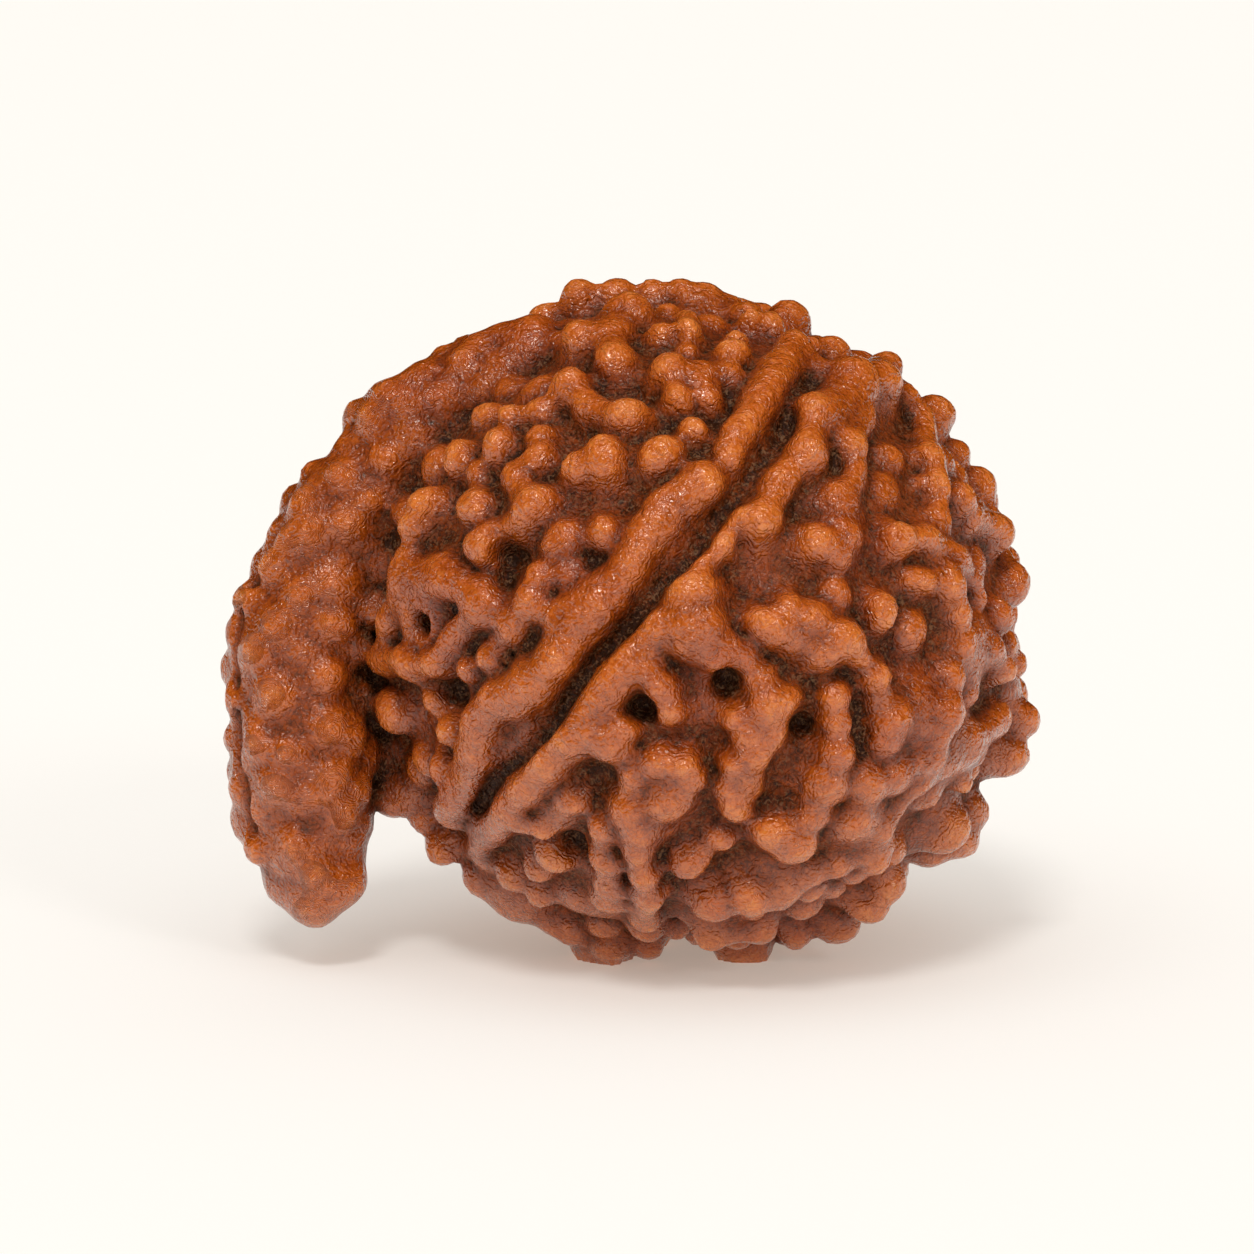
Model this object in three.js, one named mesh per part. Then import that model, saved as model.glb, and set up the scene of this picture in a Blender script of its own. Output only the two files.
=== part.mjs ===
// A rudraksha stone of the kind with a trunk: one woody body, grown as one piece.
// A slightly flattened ball carries rope-like ridges, round warts, a straight seam between two lips,
// pits, and along its left side a thick horn whose tip hangs free.
// Millimetres. X runs to the right, Y away from whoever looks at the front, Z up; the floor is Z = 0.
import * as THREE from 'three';
import { mergeVertices } from 'three/addons/utils/BufferGeometryUtils.js';

const degree = Math.PI / 180;

// Driving dimensions.
const size = {
  polarRadius: 8.88,     // body's valley floor, along the stone's own axis
  equatorRadius: 9.43,   // body's valley floor, across that axis
  axisLean: 52,          // degrees the axis rises from the right-hand side
  middle: new THREE.Vector3(1.72, 0, 9.98),   // middle of the body
  wartBase: 0.34,        // a wart's top stands wartBase + wartRise * radius over the valley floor
  wartRise: 1.15,
  blend: 0.1,            // how softly neighbouring lumps flow together
  cutBlend: 0.12,        // how soft the rims of pits and of the seam are
  facet: 0.4,            // spacing of the lattice that the skin is drawn on
  mostTriangles: 11800,  // the skin is then merged down to this many
};

// Nothing on the stone is quite straight or round: every point is shifted by a sum of seeded waves,
// each by shift for a millimetre of its length.
const wander = { waves: 14, length: [1.8, 4.0], shift: 0.014 };

// A lump is a round cone: its root lies under the valley floor and is wider than its tip.
const lump = { root: 1.58, tip: 1.03, rootDepth: 0.35 };
// Ropes of lumps: a bead at about every step, and a slimmer, lower neck between two beads.
const beads = { step: 1.1, neck: 0.78, sink: 0.2, size: [0.95, 1.14], rise: [-0.14, 0.1] };
const ropes = { upperLip: 0.92, lowerLip: 0.9, lobeEdge: 0.85 };

// The front's ridges and warts are given where they are seen: x to the right and y up from the body's
// middle, in a plane through it that faces an eye a little above the floor.
const eye = { distance: 180, tilt: 10, x: -1.88, y: -0.15 };
const seenRight = new THREE.Vector3(1, 0, 0);
const seenUp = new THREE.Vector3(0, Math.sin(eye.tilt * degree), Math.cos(eye.tilt * degree));
const toEye = new THREE.Vector3(0, -Math.cos(eye.tilt * degree), Math.sin(eye.tilt * degree));

// The stone's axis, and the direction across it to the lower right.
const axis = seenRight.clone().multiplyScalar(Math.cos(size.axisLean * degree))
  .addScaledVector(seenUp, Math.sin(size.axisLean * degree));
const across = axis.clone().cross(toEye).negate().normalize();

// Each strand is a row of [x, y, radius] or [x, y, radius, top], joined one to the next.
const strands = {
  upperLip: [
    [[3.0, 8.05, 0.62], [2.6, 7.4, 0.6], [2.1, 6.5, 0.58], [1.45, 5.6, 0.55], [1.15, 4.9, 0.48]],
    [[3.0, 8.05, 0.58], [3.65, 7.45, 0.5]],
    [[0.4, 4.05, 0.64], [-0.6, 3.35, 0.66], [-1.25, 2.45, 0.62], [-1.75, 1.6, 0.64], [-2.35, 0.9, 0.7],
     [-3.05, -0.05, 0.7], [-3.85, -0.95, 0.72], [-4.55, -1.65, 0.74], [-5.15, -2.2, 0.72]],
    [[-2.8, 0.85, 0.5], [-3.85, 0.1, 0.5]],
    [[-5.65, -2.4, 0.6], [-6.15, -3.05, 0.6], [-6.35, -3.85, 0.64], [-6.85, -4.95, 0.62],
     [-7.0, -5.6, 0.62]],
    [[-7.2, -3.3, 0.42]],
    [[-7.35, -4.25, 0.5]],
  ],
  lowerLip: [
    [[-0.9, -0.2, 0.6], [-1.7, -0.9, 0.66], [-2.35, -1.75, 0.68], [-2.95, -2.65, 0.7],
     [-3.45, -3.45, 0.7], [-4.2, -4.1, 0.66], [-4.95, -4.75, 0.66], [-5.45, -5.55, 0.62],
     [-6.05, -6.25, 0.55], [-6.35, -6.65, 0.48]],
    [[-2.35, -3.6, 0.65]],
    [[-5.0, -5.85, 0.5], [-4.3, -6.05, 0.42]],
    [[-1.3, -1.3, 0.5, 0.95], [-0.9, -1.9, 0.45, 0.9], [-0.65, -2.6, 0.4, 0.8]],
    [[-3.0, -3.2, 0.5, 1.1], [-1.9, -3.1, 0.4, 0.9]],
  ],
  crown: [
    [[-3.2, 8.3, 0.66], [-2.35, 8.45, 0.6], [-1.84, 9.05, 0.72]],
    [[-2.35, 8.45, 0.6], [-2.2, 7.75, 0.6]],
    [[-3.6, 7.0, 0.6], [-2.9, 6.4, 0.55], [-1.85, 6.1, 0.62]],
    [[-0.6, 7.45, 0.65], [0.35, 7.2, 0.58]],
    [[-0.6, 7.3, 0.5], [-0.5, 6.6, 0.48]],
    [[0.3, 7.1, 0.45], [0.5, 6.7, 0.45]],
    [[1.3, 7.85, 0.52], [1.25, 7.35, 0.4]],
    [[0, 8.95, 0.42], [0, 8.55, 0.42]],
    [[1.35, 8.5, 0.3]],
    [[-1.2, 9.75, 0.32], [-0.3, 9.75, 0.32]],
    [[0.6, 9.45, 0.36], [1.3, 9.3, 0.34]],
    [[-2.77, 9.45, 0.4]],
    [[-3.52, 9.25, 0.34]],
    [[-4.15, 9.15, 0.4]],
    [[0.02, 5.65, 0.48]],
    [[-0.82, 4.85, 0.58]],
    [[4.3, 8.0, 0.54], [3.6, 8.1, 0.42]],
    [[1.75, 9.0, 0.35]],
  ],
  crownRim: [
    [[-3.3, 9.65, 0.56]],
    [[-2.25, 9.7, 0.52]],
    [[-1.2, 9.68, 0.5]],
    [[-0.2, 9.68, 0.52]],
    [[0.55, 9.55, 0.5]],
    [[-4.4, 9.05, 0.52]],
    [[7.4, 6.3, 0.6]],
    [[6.5, 6.6, 0.45]],
    [[7.9, 5.0, 0.5]],
    [[9.3, 0.2, 0.5]],
    [[8.3, 1.4, 0.45], [8.6, 0.9, 0.35]],
    [[9.3, -0.55, 0.4]],
    [[8.7, 1.3, 0.3]],
    [[7.95, -6.45, 0.7]],
    [[7.2, -6.85, 0.62]],
    [[8.35, -5.5, 0.6]],
    [[6.0, -7.4, 0.6]],
  ],
  upperField: [
    [[-7.75, 3.5, 0.6], [-7.95, 2.8, 0.6]],
    [[-6.4, 3.47, 0.68]],
    [[-4.45, 4.85, 0.4], [-5.15, 4.4, 0.45], [-4.65, 3.45, 0.68]],
    [[-2.49, 4.75, 0.7], [-3.3, 4.5, 0.5]],
    [[-6.16, 2.15, 0.6]],
    [[-5.9, 2.7, 0.35, 0.8], [-5.2, 3.0, 0.35, 0.8]],
    [[-2.6, 2.61, 0.5]],
    [[-3.8, 2.35, 0.57], [-3.53, 1.5, 0.5]],
    [[-4.4, 1.4, 0.4, 0.9], [-4.7, 0.6, 0.5, 1.0]],
    [[-5.55, 5.2, 0.32, 0.8]],
    [[-5.2, 6.1, 0.26, 0.7]],
    [[-4.5, 6.4, 0.26, 0.7]],
    [[-6.9, 4.75, 0.3, 0.8]],
    [[-6.1, 4.7, 0.3, 0.6]],
  ],
  leftField: [
    [[-8.4, 1.35, 0.6], [-7.2, 1.3, 0.6], [-6.1, 0.5, 0.62], [-5.3, -0.1, 0.52], [-5.85, -1.05, 0.45]],
    [[-8.4, 1.35, 0.5], [-8.9, 0.1, 0.5], [-9.1, -1.0, 0.5], [-8.2, -1.2, 0.58], [-7.5, -1.15, 0.5],
     [-7.0, -0.5, 0.46], [-6.2, 0.4, 0.5]],
    [[-9.2, -2.7, 0.5], [-8.63, -2.6, 0.72]],
    [[-8.73, -3.7, 0.55]],
    [[-8.3, -4.85, 0.45]],
    [[-8.95, -5.3, 0.55]],
    [[-7.9, -5.8, 0.5]],
    [[-8.4, 1.9, 0.3, 0.9], [-8.6, 0.8, 0.4]],
    [[-9.3, 1.6, 0.5], [-9.5, 0.5, 0.55], [-9.6, -0.4, 0.5]],
    [[-9.7, -1.3, 0.55], [-9.75, -2.2, 0.6], [-9.6, -3.2, 0.6], [-9.5, -4.2, 0.55], [-9.35, -5.0, 0.45]],
  ],
  rightOfSeam: [
    [[5.84, 7.55, 0.55], [5.5, 7.1, 0.7], [4.7, 6.9, 0.85], [3.85, 6.05, 0.78], [3.37, 4.95, 0.62],
     [2.67, 4.2, 0.55], [2.12, 2.95, 0.62]],
    [[4.77, 6.96, 0.6], [4.95, 6.1, 0.55], [4.77, 5.23, 0.6], [4.95, 4.5, 0.42], [4.42, 3.65, 0.5],
     [4.45, 2.7, 0.58], [3.8, 2.25, 0.58]],
    [[4.45, 2.7, 0.5], [4.3, 1.95, 0.5]],
    [[1.55, 3.15, 0.36, 0.9], [0.9, 2.35, 0.36, 0.9], [0.2, 1.75, 0.36, 0.9]],
    [[6.3, 6.6, 0.5], [6.8, 6.0, 0.5], [7.1, 4.9, 0.54], [7.3, 3.95, 0.46], [7.35, 3.1, 0.4, 0.9]],
    [[8.0, 3.6, 0.56]],
    [[8.4, 3.0, 0.42], [8.98, 2.65, 0.66]],
    [[6.1, 2.5, 0.58], [7.0, 2.3, 0.5, 1.0], [7.8, 1.95, 0.48], [8.3, 1.4, 0.38], [8.5, 0.8, 0.34]],
    [[7.6, 1.0, 0.62]],
    [[7.0, 1.1, 0.4, 0.9], [6.6, 1.3, 0.35, 0.7]],
    [[9.08, 0.2, 0.56]],
    [[7.95, 0.2, 0.45, 0.95], [8.05, -0.6, 0.45, 0.95]],
    [[5.65, 0.35, 0.56]],
  ],
  centre: [
    [[0.1, 0.75, 0.72], [0.2, -0.35, 0.84]],
    [[0.2, -0.4, 0.7], [1.0, -0.9, 0.5], [1.6, -1.1, 0.46], [2.15, -1.7, 0.5], [2.4, -2.5, 0.7],
     [2.35, -3.2, 0.56], [1.95, -3.65, 0.45]],
    [[0.2, -0.6, 0.5], [0.7, -1.2, 0.35, 1.0], [1.2, -1.05, 0.4]],
    [[3.0, -2.3, 0.4]],
    [[-0.3, -0.4, 0.55], [-0.9, -0.25, 0.5]],
    [[2.05, 0.05, 0.5], [2.95, 0.42, 0.54], [3.6, 0.15, 0.5], [4.55, -0.5, 0.6], [4.85, -0.95, 0.45]],
    [[2.55, -0.25, 0.56], [3.0, -0.5, 0.46]],
    [[4.4, -0.6, 0.5], [3.9, -1.0, 0.44]],
    [[1.3, -2.8, 0.36, 0.8], [1.65, -3.2, 0.36, 0.8]],
    [[1.35, -4.2, 0.4, 0.95], [1.1, -5.1, 0.36, 0.85]],
    [[2.0, -3.9, 0.4, 0.95], [1.75, -4.8, 0.42, 0.9], [1.35, -5.6, 0.4, 0.85]],
    [[-0.9, -4.2, 0.6], [-0.3, -4.35, 0.58], [0, -4.75, 0.5]],
    [[-1.65, -4.6, 0.5], [-1.65, -5.4, 0.66], [-1.45, -5.95, 0.62]],
    [[-0.55, -5.25, 0.74]],
  ],
  rightField: [
    [[4.3, -2.25, 0.48], [4.35, -3.0, 0.46], [4.35, -3.9, 0.55], [3.95, -4.8, 0.68], [3.5, -5.6, 0.66],
     [3.1, -6.5, 0.6, 1.1]],
    [[5.4, -1.6, 0.5], [5.5, -2.2, 0.45], [5.95, -2.9, 0.6], [5.85, -3.4, 0.55]],
    [[7.7, -1.6, 0.5], [7.5, -2.6, 0.66], [7.25, -3.2, 0.5]],
    [[8.9, -0.9, 0.5], [9.25, -1.4, 0.46]],
    [[8.3, -3.4, 0.45], [9.05, -2.95, 0.56]],
    [[5.1, -4.6, 0.85, 1.05], [5.9, -4.3, 0.8, 1.05], [6.9, -3.9, 0.6, 1.05]],
    [[4.7, -5.7, 0.85, 1.05]],
    [[2.45, -6.1, 0.62]],
  ],
  lobeEdge: [
    [[8.25, -3.75, 0.42], [7.5, -4.3, 0.45], [6.7, -4.8, 0.46], [6.1, -5.35, 0.46], [5.6, -6.1, 0.48],
     [5.1, -6.7, 0.5], [4.3, -7.2, 0.5], [3.6, -7.4, 0.46], [2.9, -7.7, 0.46]],
    [[5.75, -6.55, 0.42], [5.45, -7.0, 0.56], [4.8, -7.4, 0.5]],
    [[5.2, -8.2, 0.74], [5.85, -7.6, 0.55]],
    [[7.55, -6.15, 0.85]],
    [[9.45, -4.0, 0.64], [9.1, -3.8, 0.5]],
    [[9.8, -2.85, 0.58]],
    [[9.55, -1.2, 0.46]],
    [[4.45, -9.1, 0.62]],
    [[3.2, -9.15, 0.58]],
    [[8.1, -4.7, 0.35, 0.8]],
  ],
  foot: [
    [[-5.3, -7.45, 0.6], [-5.95, -6.9, 0.5]],
    [[-2.6, -6.1, 0.46], [-2.5, -7.0, 0.5], [-2.4, -7.7, 0.55], [-2.4, -8.1, 0.6]],
    [[-1.55, -6.6, 0.5, 1.0], [-1.4, -7.4, 0.5, 1.0], [-1.3, -8.0, 0.5, 1.05], [-1.4, -8.7, 0.5]],
    [[0, -7.0, 0.6, 0.85]],
    [[0.8, -8.3, 0.7], [1.8, -8.1, 0.68]],
    [[2.65, -8.0, 0.5]],
    [[0.6, -9.15, 0.6], [2.1, -9.05, 0.56]],
    [[1.4, -9.4, 0.5]],
    [[-2.6, -8.95, 0.5]],
    [[-4.05, -8.75, 0.58], [-3.5, -8.95, 0.62]],
    [[-2.4, -9.6, 0.58]],
    [[-1.3, -9.4, 0.6]],
    [[-5.15, -8.25, 0.62]],
    [[-6.1, -7.6, 0.66]],
    [[-7.3, -6.7, 0.6]],
    [[-4.5, -7.2, 0.5, 0.75]],
    [[-4.4, -8.0, 0.5, 0.95]],
  ],
};
const behindOutline = ['crownRim'];

// Where the valley floor itself is raised, as [x, y, radius, top]: broad swells under the ropes.
const swells = [
  [5.4, -2.4, 2.2, 0.72], [4.2, -4.9, 2.2, 0.8], [6.9, -3.4, 1.6, 0.75], [7.0, -0.8, 2.0, 0.72],
  [8.6, -2.0, 1.2, 0.7], [6.3, 1.4, 1.7, 0.62], [7.7, 3.0, 1.2, 0.6], [2.4, -6.6, 1.6, 0.65],
  [3.9, 2.9, 1.3, 0.6], [4.6, 6.3, 1.2, 0.7], [3.2, -0.6, 1.3, 0.55], [-7.1, 0.4, 1.6, 0.75],
  [-8.3, -2.3, 1.2, 0.5], [-4.6, 2.9, 1.2, 0.5], [-1.3, -5.1, 1.4, 0.7], [-3.6, -5.0, 1.1, 0.5],
  [-2.6, -7.2, 1.6, 0.6], [0.8, -7.6, 1.6, 0.5], [-2.5, 7.7, 1.5, 0.6], [0.3, 8.3, 1.5, 0.5],
  [-4.9, -7.6, 1.4, 0.6],
];

// Pits as [x, y, radius], and the straight seam's groove, seen in the same way.
const pits = [
  [-5.13, 1.85, 0.5], [-5.35, 1.3, 0.35], [-6.95, -2.15, 0.5], [-1.4, -2.4, 0.4], [1.05, -1.85, 0.42],
  [-3.4, -6.6, 0.44], [3.3, -3.12, 0.34], [-7.65, 0.11, 0.34], [-0.23, -8.8, 0.36],
];
const seam = [
  [2.95, 6.0], [2.25, 4.9], [1.37, 3.75], [0.4, 2.75], [-0.3, 1.75], [-1.05, 0.65], [-1.8, -0.05],
  [-2.6, -1.0], [-3.35, -1.95], [-4.1, -3.0], [-4.95, -3.95], [-5.75, -4.8], [-6.35, -5.6],
];
const seamWidth = 0.44;
const seamBed = { height: 0.3, radius: 0.9 };   // the low bed that the groove is cut into
const pitDepth = { from: -0.4, to: 1.1 };   // heights over the valley floor between which a pit reaches

// The horn: its middle line as [x, y, towards the eye, radius], from the crown down to the free tip.
const horn = [
  [-4.6, 8.1, 2.2, 0.9], [-6.6, 6.75, 1.9, 1.3], [-8.4, 5.1, 1.6, 1.65], [-9.9, 3.15, 1.4, 1.85],
  [-11.05, 0.9, 1.2, 2.0], [-11.5, -1.5, 1.2, 2.1], [-11.6, -4.0, 1.1, 2.05],
  [-11.5, -6.0, 1.0, 1.7], [-11.1, -7.4, 0.9, 1.3],
];
// Low lumps on the horn's front as [x, y, radius], and how far they stand out of it.
const hornLumps = [
  [-4.8, 7.7, 0.78], [-5.6, 7.4, 0.55], [-6.1, 6.9, 0.52], [-6.7, 7.6, 0.59], [-7.35, 6.45, 0.55],
  [-8.55, 6.5, 0.59], [-8.0, 5.35, 0.88], [-8.87, 4.83, 0.59], [-9.7, 5.9, 0.72], [-10.15, 4.1, 0.59],
  [-9.4, 3.6, 0.49], [-10.05, 2.85, 0.65], [-11.1, 3.3, 0.65], [-11.6, 2.3, 0.59], [-10.5, 1.3, 0.91],
  [-12.3, 1.6, 0.52], [-12.85, 0.6, 0.65], [-11.9, -0.1, 0.78], [-12.6, -0.9, 0.59], [-12.1, -2.0, 0.78],
  [-10.8, -1.6, 0.65], [-10.8, -3.1, 0.65], [-12.0, -4.9, 0.78], [-12.6, -3.6, 0.59], [-10.9, -5.0, 0.59],
  [-11.6, -6.5, 0.59], [-11.05, -7.25, 0.62], [-10.5, -7.65, 0.91], [-11.2, -8.02, 1.01], [-11.9, -7.6, 0.91],
];
const hornRelief = 0.34;
// A shallow furrow down the horn's outer side.
const hornFurrow = [[-12.1, 2.6], [-13.05, 0.6], [-13.35, -1.2], [-13.3, -4.4], [-12.9, -6.1]];
const hornFurrowWidth = 0.24;

// More lumps all round the horn, a golden angle apart.
const hornFill = { steps: 150, turn: 137.5, radius: [0.5, 0.9], relief: [0.08, 0.4], clear: -0.1 };

// The floor between the ropes is filled with smaller, lower lumps, wherever there is room.
const filler = {
  count: 2600, radius: [0.3, 0.64], top: [0.25, 0.7], clear: 0.5, apart: 0.9, seamRoom: 0.6,
};

// What the front doesn't show is grown by rule, with a seeded draw.
const hidden = {
  seed: 5417,
  count: 400,   // lattice points over the whole body
  facing: 0.12,   // points that face the eye less than this are hidden
  jitter: 0.4,
  radius: [0.46, 0.74],
  clear: 0.75,   // least gap to the lumps that are given above
  linkReach: 2.3,
  linkChance: 0.5,
  linkSize: 0.78,
  linkSink: 0.12,
  pitChance: 0.08,
  pitRadius: 0.45,
  seams: [132, 204, 276],   // turns round the axis, from the front's seam
  seamClear: 1.75,
  lipOffset: 0.95,
  lipWander: [-0.12, 0.2],
  lipRadius: [0.5, 0.64],
  lipStep: 1.15,
  lipChance: 0.9,
  lipFacing: -0.2,
};
// Where the stone's weight falls on the floor, and the low warts round it that the floor cuts flat.
const weight = new THREE.Vector2(1.2, 0.05);
const feet = { ring: 2.4, radius: 1.0, cut: 0.34, count: 3, turn: 90 };

let drawState = hidden.seed;
function draw([low, high]) {
  drawState = (drawState * 16807) % 2147483647;
  return low + (high - low) * drawState / 2147483647;
}

const topOf = (radius, top) => top ?? size.wartBase + size.wartRise * radius;

// Each wave's shift, its wave vector and its phase.
const drawVector = () => new THREE.Vector3(draw([-1, 1]), draw([-1, 1]), draw([-1, 1])).normalize();
const waves = [...Array(wander.waves).keys()].map(() => {
  const length = draw(wander.length);
  const shift = drawVector().multiplyScalar(wander.shift * length);
  const run = drawVector().multiplyScalar(2 * Math.PI / length);
  return { shift, run, phase: draw([0, 2 * Math.PI]) };
});

function wandered(p, into) {
  into.copy(p);
  for (const { shift, run, phase } of waves) into.addScaledVector(shift, Math.sin(p.dot(run) + phase));
  return into;
}

// Where the sight line through (x, y) meets the body's floor raised by height.
function onBody(x, y, height, behind = false) {
  const start = size.middle.clone().addScaledVector(toEye, eye.distance)
    .addScaledVector(seenRight, eye.x).addScaledVector(seenUp, eye.y);
  const target = size.middle.clone().addScaledVector(seenRight, x).addScaledVector(seenUp, y);
  const sight = target.sub(start).normalize();
  const o = toBodyFrame(start.clone().sub(size.middle), height);
  const d = toBodyFrame(sight, height);
  const a = d.dot(d);
  const b = o.dot(d);
  const root = b * b - a * (o.dot(o) - 1);
  const reach = (-b + (behind ? 1 : -1) * Math.sqrt(Math.max(root, 0))) / a;
  return start.addScaledVector(sight, reach);
}

// A vector measured along the stone's axes, in units of its raised radii.
function toBodyFrame(v, height) {
  const polar = v.dot(axis) / (size.polarRadius + height);
  const side = v.dot(across) / (size.equatorRadius + height);
  const front = v.dot(toEye) / (size.equatorRadius + height);
  return new THREE.Vector3(polar, side, front);
}

// The floor's outward direction at a point near it.
function outward(p) {
  const v = p.clone().sub(size.middle);
  return axis.clone().multiplyScalar(v.dot(axis) / size.polarRadius ** 2)
    .addScaledVector(across, v.dot(across) / size.equatorRadius ** 2)
    .addScaledVector(toEye, v.dot(toEye) / size.equatorRadius ** 2)
    .normalize();
}

// The point at a height over the floor, in a direction from the body's middle.
function above(direction, height) {
  const unit = direction.clone().normalize();
  return size.middle.clone().addScaledVector(unit, 1 / toBodyFrame(unit, height).length());
}

// A strand is a list of round cones from one point and radius to another: along a row of knots,
function plain(knots) {
  if (knots.length === 1) return [{ a: knots[0], b: knots[0] }];
  return knots.slice(1).map((knot, i) => ({ a: knots[i], b: knot }));
}

// or along a row of crests, with a cone from each crest down to its root.
function rooted(crests) {
  const roots = crests.map((crest) => {
    const out = outward(crest.at);
    const v = crest.at.clone().sub(size.middle);
    const height = crest.at.clone().sub(above(v, 0)).dot(out);
    const at = crest.at.clone().addScaledVector(out, -height - lump.rootDepth);
    return { a: crest, b: { at, radius: crest.radius * lump.root / lump.tip } };
  });
  return crests.length > 1 ? [...plain(crests), ...roots] : roots;
}

// A row with more beads where it is long, and a neck between each two beads.
function beaded(row, neck) {
  const knots = row.map(([x, y, radius, top]) => [x, y, radius, topOf(radius, top)]);
  const made = [knots[0]];
  for (let k = 1; k < knots.length; k += 1) {
    const [a, b] = [knots[k - 1], knots[k]];
    const count = Math.max(1, Math.round(Math.hypot(b[0] - a[0], b[1] - a[1]) / beads.step));
    for (let i = 1; i <= 2 * count; i += 1) {
      const [x, y, radius, top] = a.map((v, n) => THREE.MathUtils.lerp(v, b[n], i / (2 * count)));
      if (i % 2) made.push([x, y, radius * neck, top - beads.sink * (1 - neck) / (1 - beads.neck)]);
      else made.push([x, y, radius * draw(beads.size), top + draw(beads.rise)]);
    }
  }
  return made;
}

const seenStrand = (row, behind, neck) => rooted(beaded(row, neck).map(([x, y, radius, top]) => {
  const tip = radius * lump.tip;
  return { at: onBody(x, y, top - tip, behind), radius: tip };
}));

// A single lump's crest in a direction from the body's middle.
function wartAt(direction, radius, top) {
  const tip = radius * lump.tip;
  return { at: above(direction, top - tip), radius: tip };
}

// A cut straight into the body at a point, from one height over the floor to another.
function cutAt(point, radius, depth) {
  const out = outward(point);
  return plain([
    { at: point.clone().addScaledVector(out, depth.from + radius), radius },
    { at: point.clone().addScaledVector(out, depth.to), radius },
  ]);
}

const hornStrand = horn.map(([x, y, forward, radius]) => ({
  at: size.middle.clone().addScaledVector(seenRight, x).addScaledVector(seenUp, y)
    .addScaledVector(toEye, forward),
  radius,
}));

// The horn's middle line at a share of its length.
const hornCurve = new THREE.CatmullRomCurve3(hornStrand.map(({ at }) => at));
function hornAt(share) {
  const k = Math.min(Math.floor(share * (horn.length - 1)), horn.length - 2);
  const part = share * (horn.length - 1) - k;
  return {
    at: hornCurve.getPoint(share),
    radius: THREE.MathUtils.lerp(horn[k][3], horn[k + 1][3], part),
  };
}

// The place on the horn's near side seen at (x, y), sunk by sink.
function onHorn(x, y, sink) {
  const seen = new THREE.Vector2(x, y);
  let best = { gap: Infinity };
  const samples = 200;
  for (let i = 0; i <= samples; i += 1) {
    const { at, radius } = hornAt(i / samples);
    const v = at.clone().sub(size.middle);
    const gap = seen.distanceTo(new THREE.Vector2(v.dot(seenRight), v.dot(seenUp)));
    if (gap < best.gap) best = { gap, radius, forward: v.dot(toEye) };
  }
  const rise = Math.sqrt(Math.max((best.radius - sink) ** 2 - best.gap ** 2, 0));
  return size.middle.clone().addScaledVector(seenRight, x).addScaledVector(seenUp, y)
    .addScaledVector(toEye, best.forward + rise);
}

// Distance from p to the nearest of a strand's round cones; negative inside.
const span = new THREE.Vector3();
const offset = new THREE.Vector3();
function strandDistance(strand, p) {
  let nearest = Infinity;
  for (const { a, b } of strand) {
    span.subVectors(b.at, a.at);
    offset.subVectors(p, a.at);
    const share = THREE.MathUtils.clamp(offset.dot(span) / Math.max(span.lengthSq(), 1e-12), 0, 1);
    const gap = offset.addScaledVector(span, -share).length();
    nearest = Math.min(nearest, gap - THREE.MathUtils.lerp(a.radius, b.radius, share));
  }
  return nearest;
}

const clearOf = (p, others, gap) => others.every((strand) => strandDistance(strand, p) > gap);

// Low lumps round the horn, where they clear those that are given.
function hornStrands(lumpsGiven) {
  const made = [];
  for (let i = 2; i < hornFill.steps; i += 1) {
    const { at, radius } = hornAt(i / hornFill.steps);
    const along = hornCurve.getTangent(i / hornFill.steps);
    const out = toEye.clone().addScaledVector(along, -toEye.dot(along))
      .applyAxisAngle(along, i * hornFill.turn * degree).normalize();
    const lumpRadius = draw(hornFill.radius);
    const centre = at.clone().addScaledVector(out, radius - lumpRadius + draw(hornFill.relief));
    if (clearOf(centre, lumpsGiven, hornFill.clear)) made.push(plain([{ at: centre, radius: lumpRadius }]));
  }
  return made;
}

// The direction at an angle from the axis and a turn round it, counted from the front's seam.
function roundAxis(angle, turn) {
  return axis.clone().multiplyScalar(Math.cos(angle))
    .addScaledVector(toEye, Math.sin(angle) * Math.cos(turn))
    .addScaledVector(across, Math.sin(angle) * Math.sin(turn));
}

const isHidden = (p, limit) => p.clone().sub(size.middle).normalize().dot(toEye) < limit;

// Two lips and a groove for each seam on the hidden side.
function hiddenSeams(given) {
  const lips = [];
  const grooves = [];
  const middles = [];
  for (const turn of hidden.seams) {
    for (const side of [-1, 1]) {
      let previous = null;
      const steps = Math.round(Math.PI * size.equatorRadius / hidden.lipStep);
      for (let i = 2; i < steps - 1; i += 1) {
        const angle = Math.PI * i / steps;
        const offCentre = hidden.lipOffset + draw(hidden.lipWander);
        const shift = side * offCentre / (size.equatorRadius * Math.sin(angle));
        const radius = draw(hidden.lipRadius);
        const crest = wartAt(roundAxis(angle, turn * degree + shift), radius, topOf(radius));
        const kept = draw([0, 1]) < hidden.lipChance && isHidden(crest.at, hidden.lipFacing)
          && clearOf(crest.at, given, hidden.clear);
        if (kept) lips.push(rooted(previous ? [previous, crest] : [crest]));
        previous = kept ? crest : null;
        const centre = above(roundAxis(angle, turn * degree), 0);
        if (side > 0 && isHidden(centre, hidden.lipFacing)) {
          grooves.push(centre);
          middles.push(plain([{ at: centre, radius: 0 }]));
        }
      }
    }
  }
  return { lips, grooves, middles };
}

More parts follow.
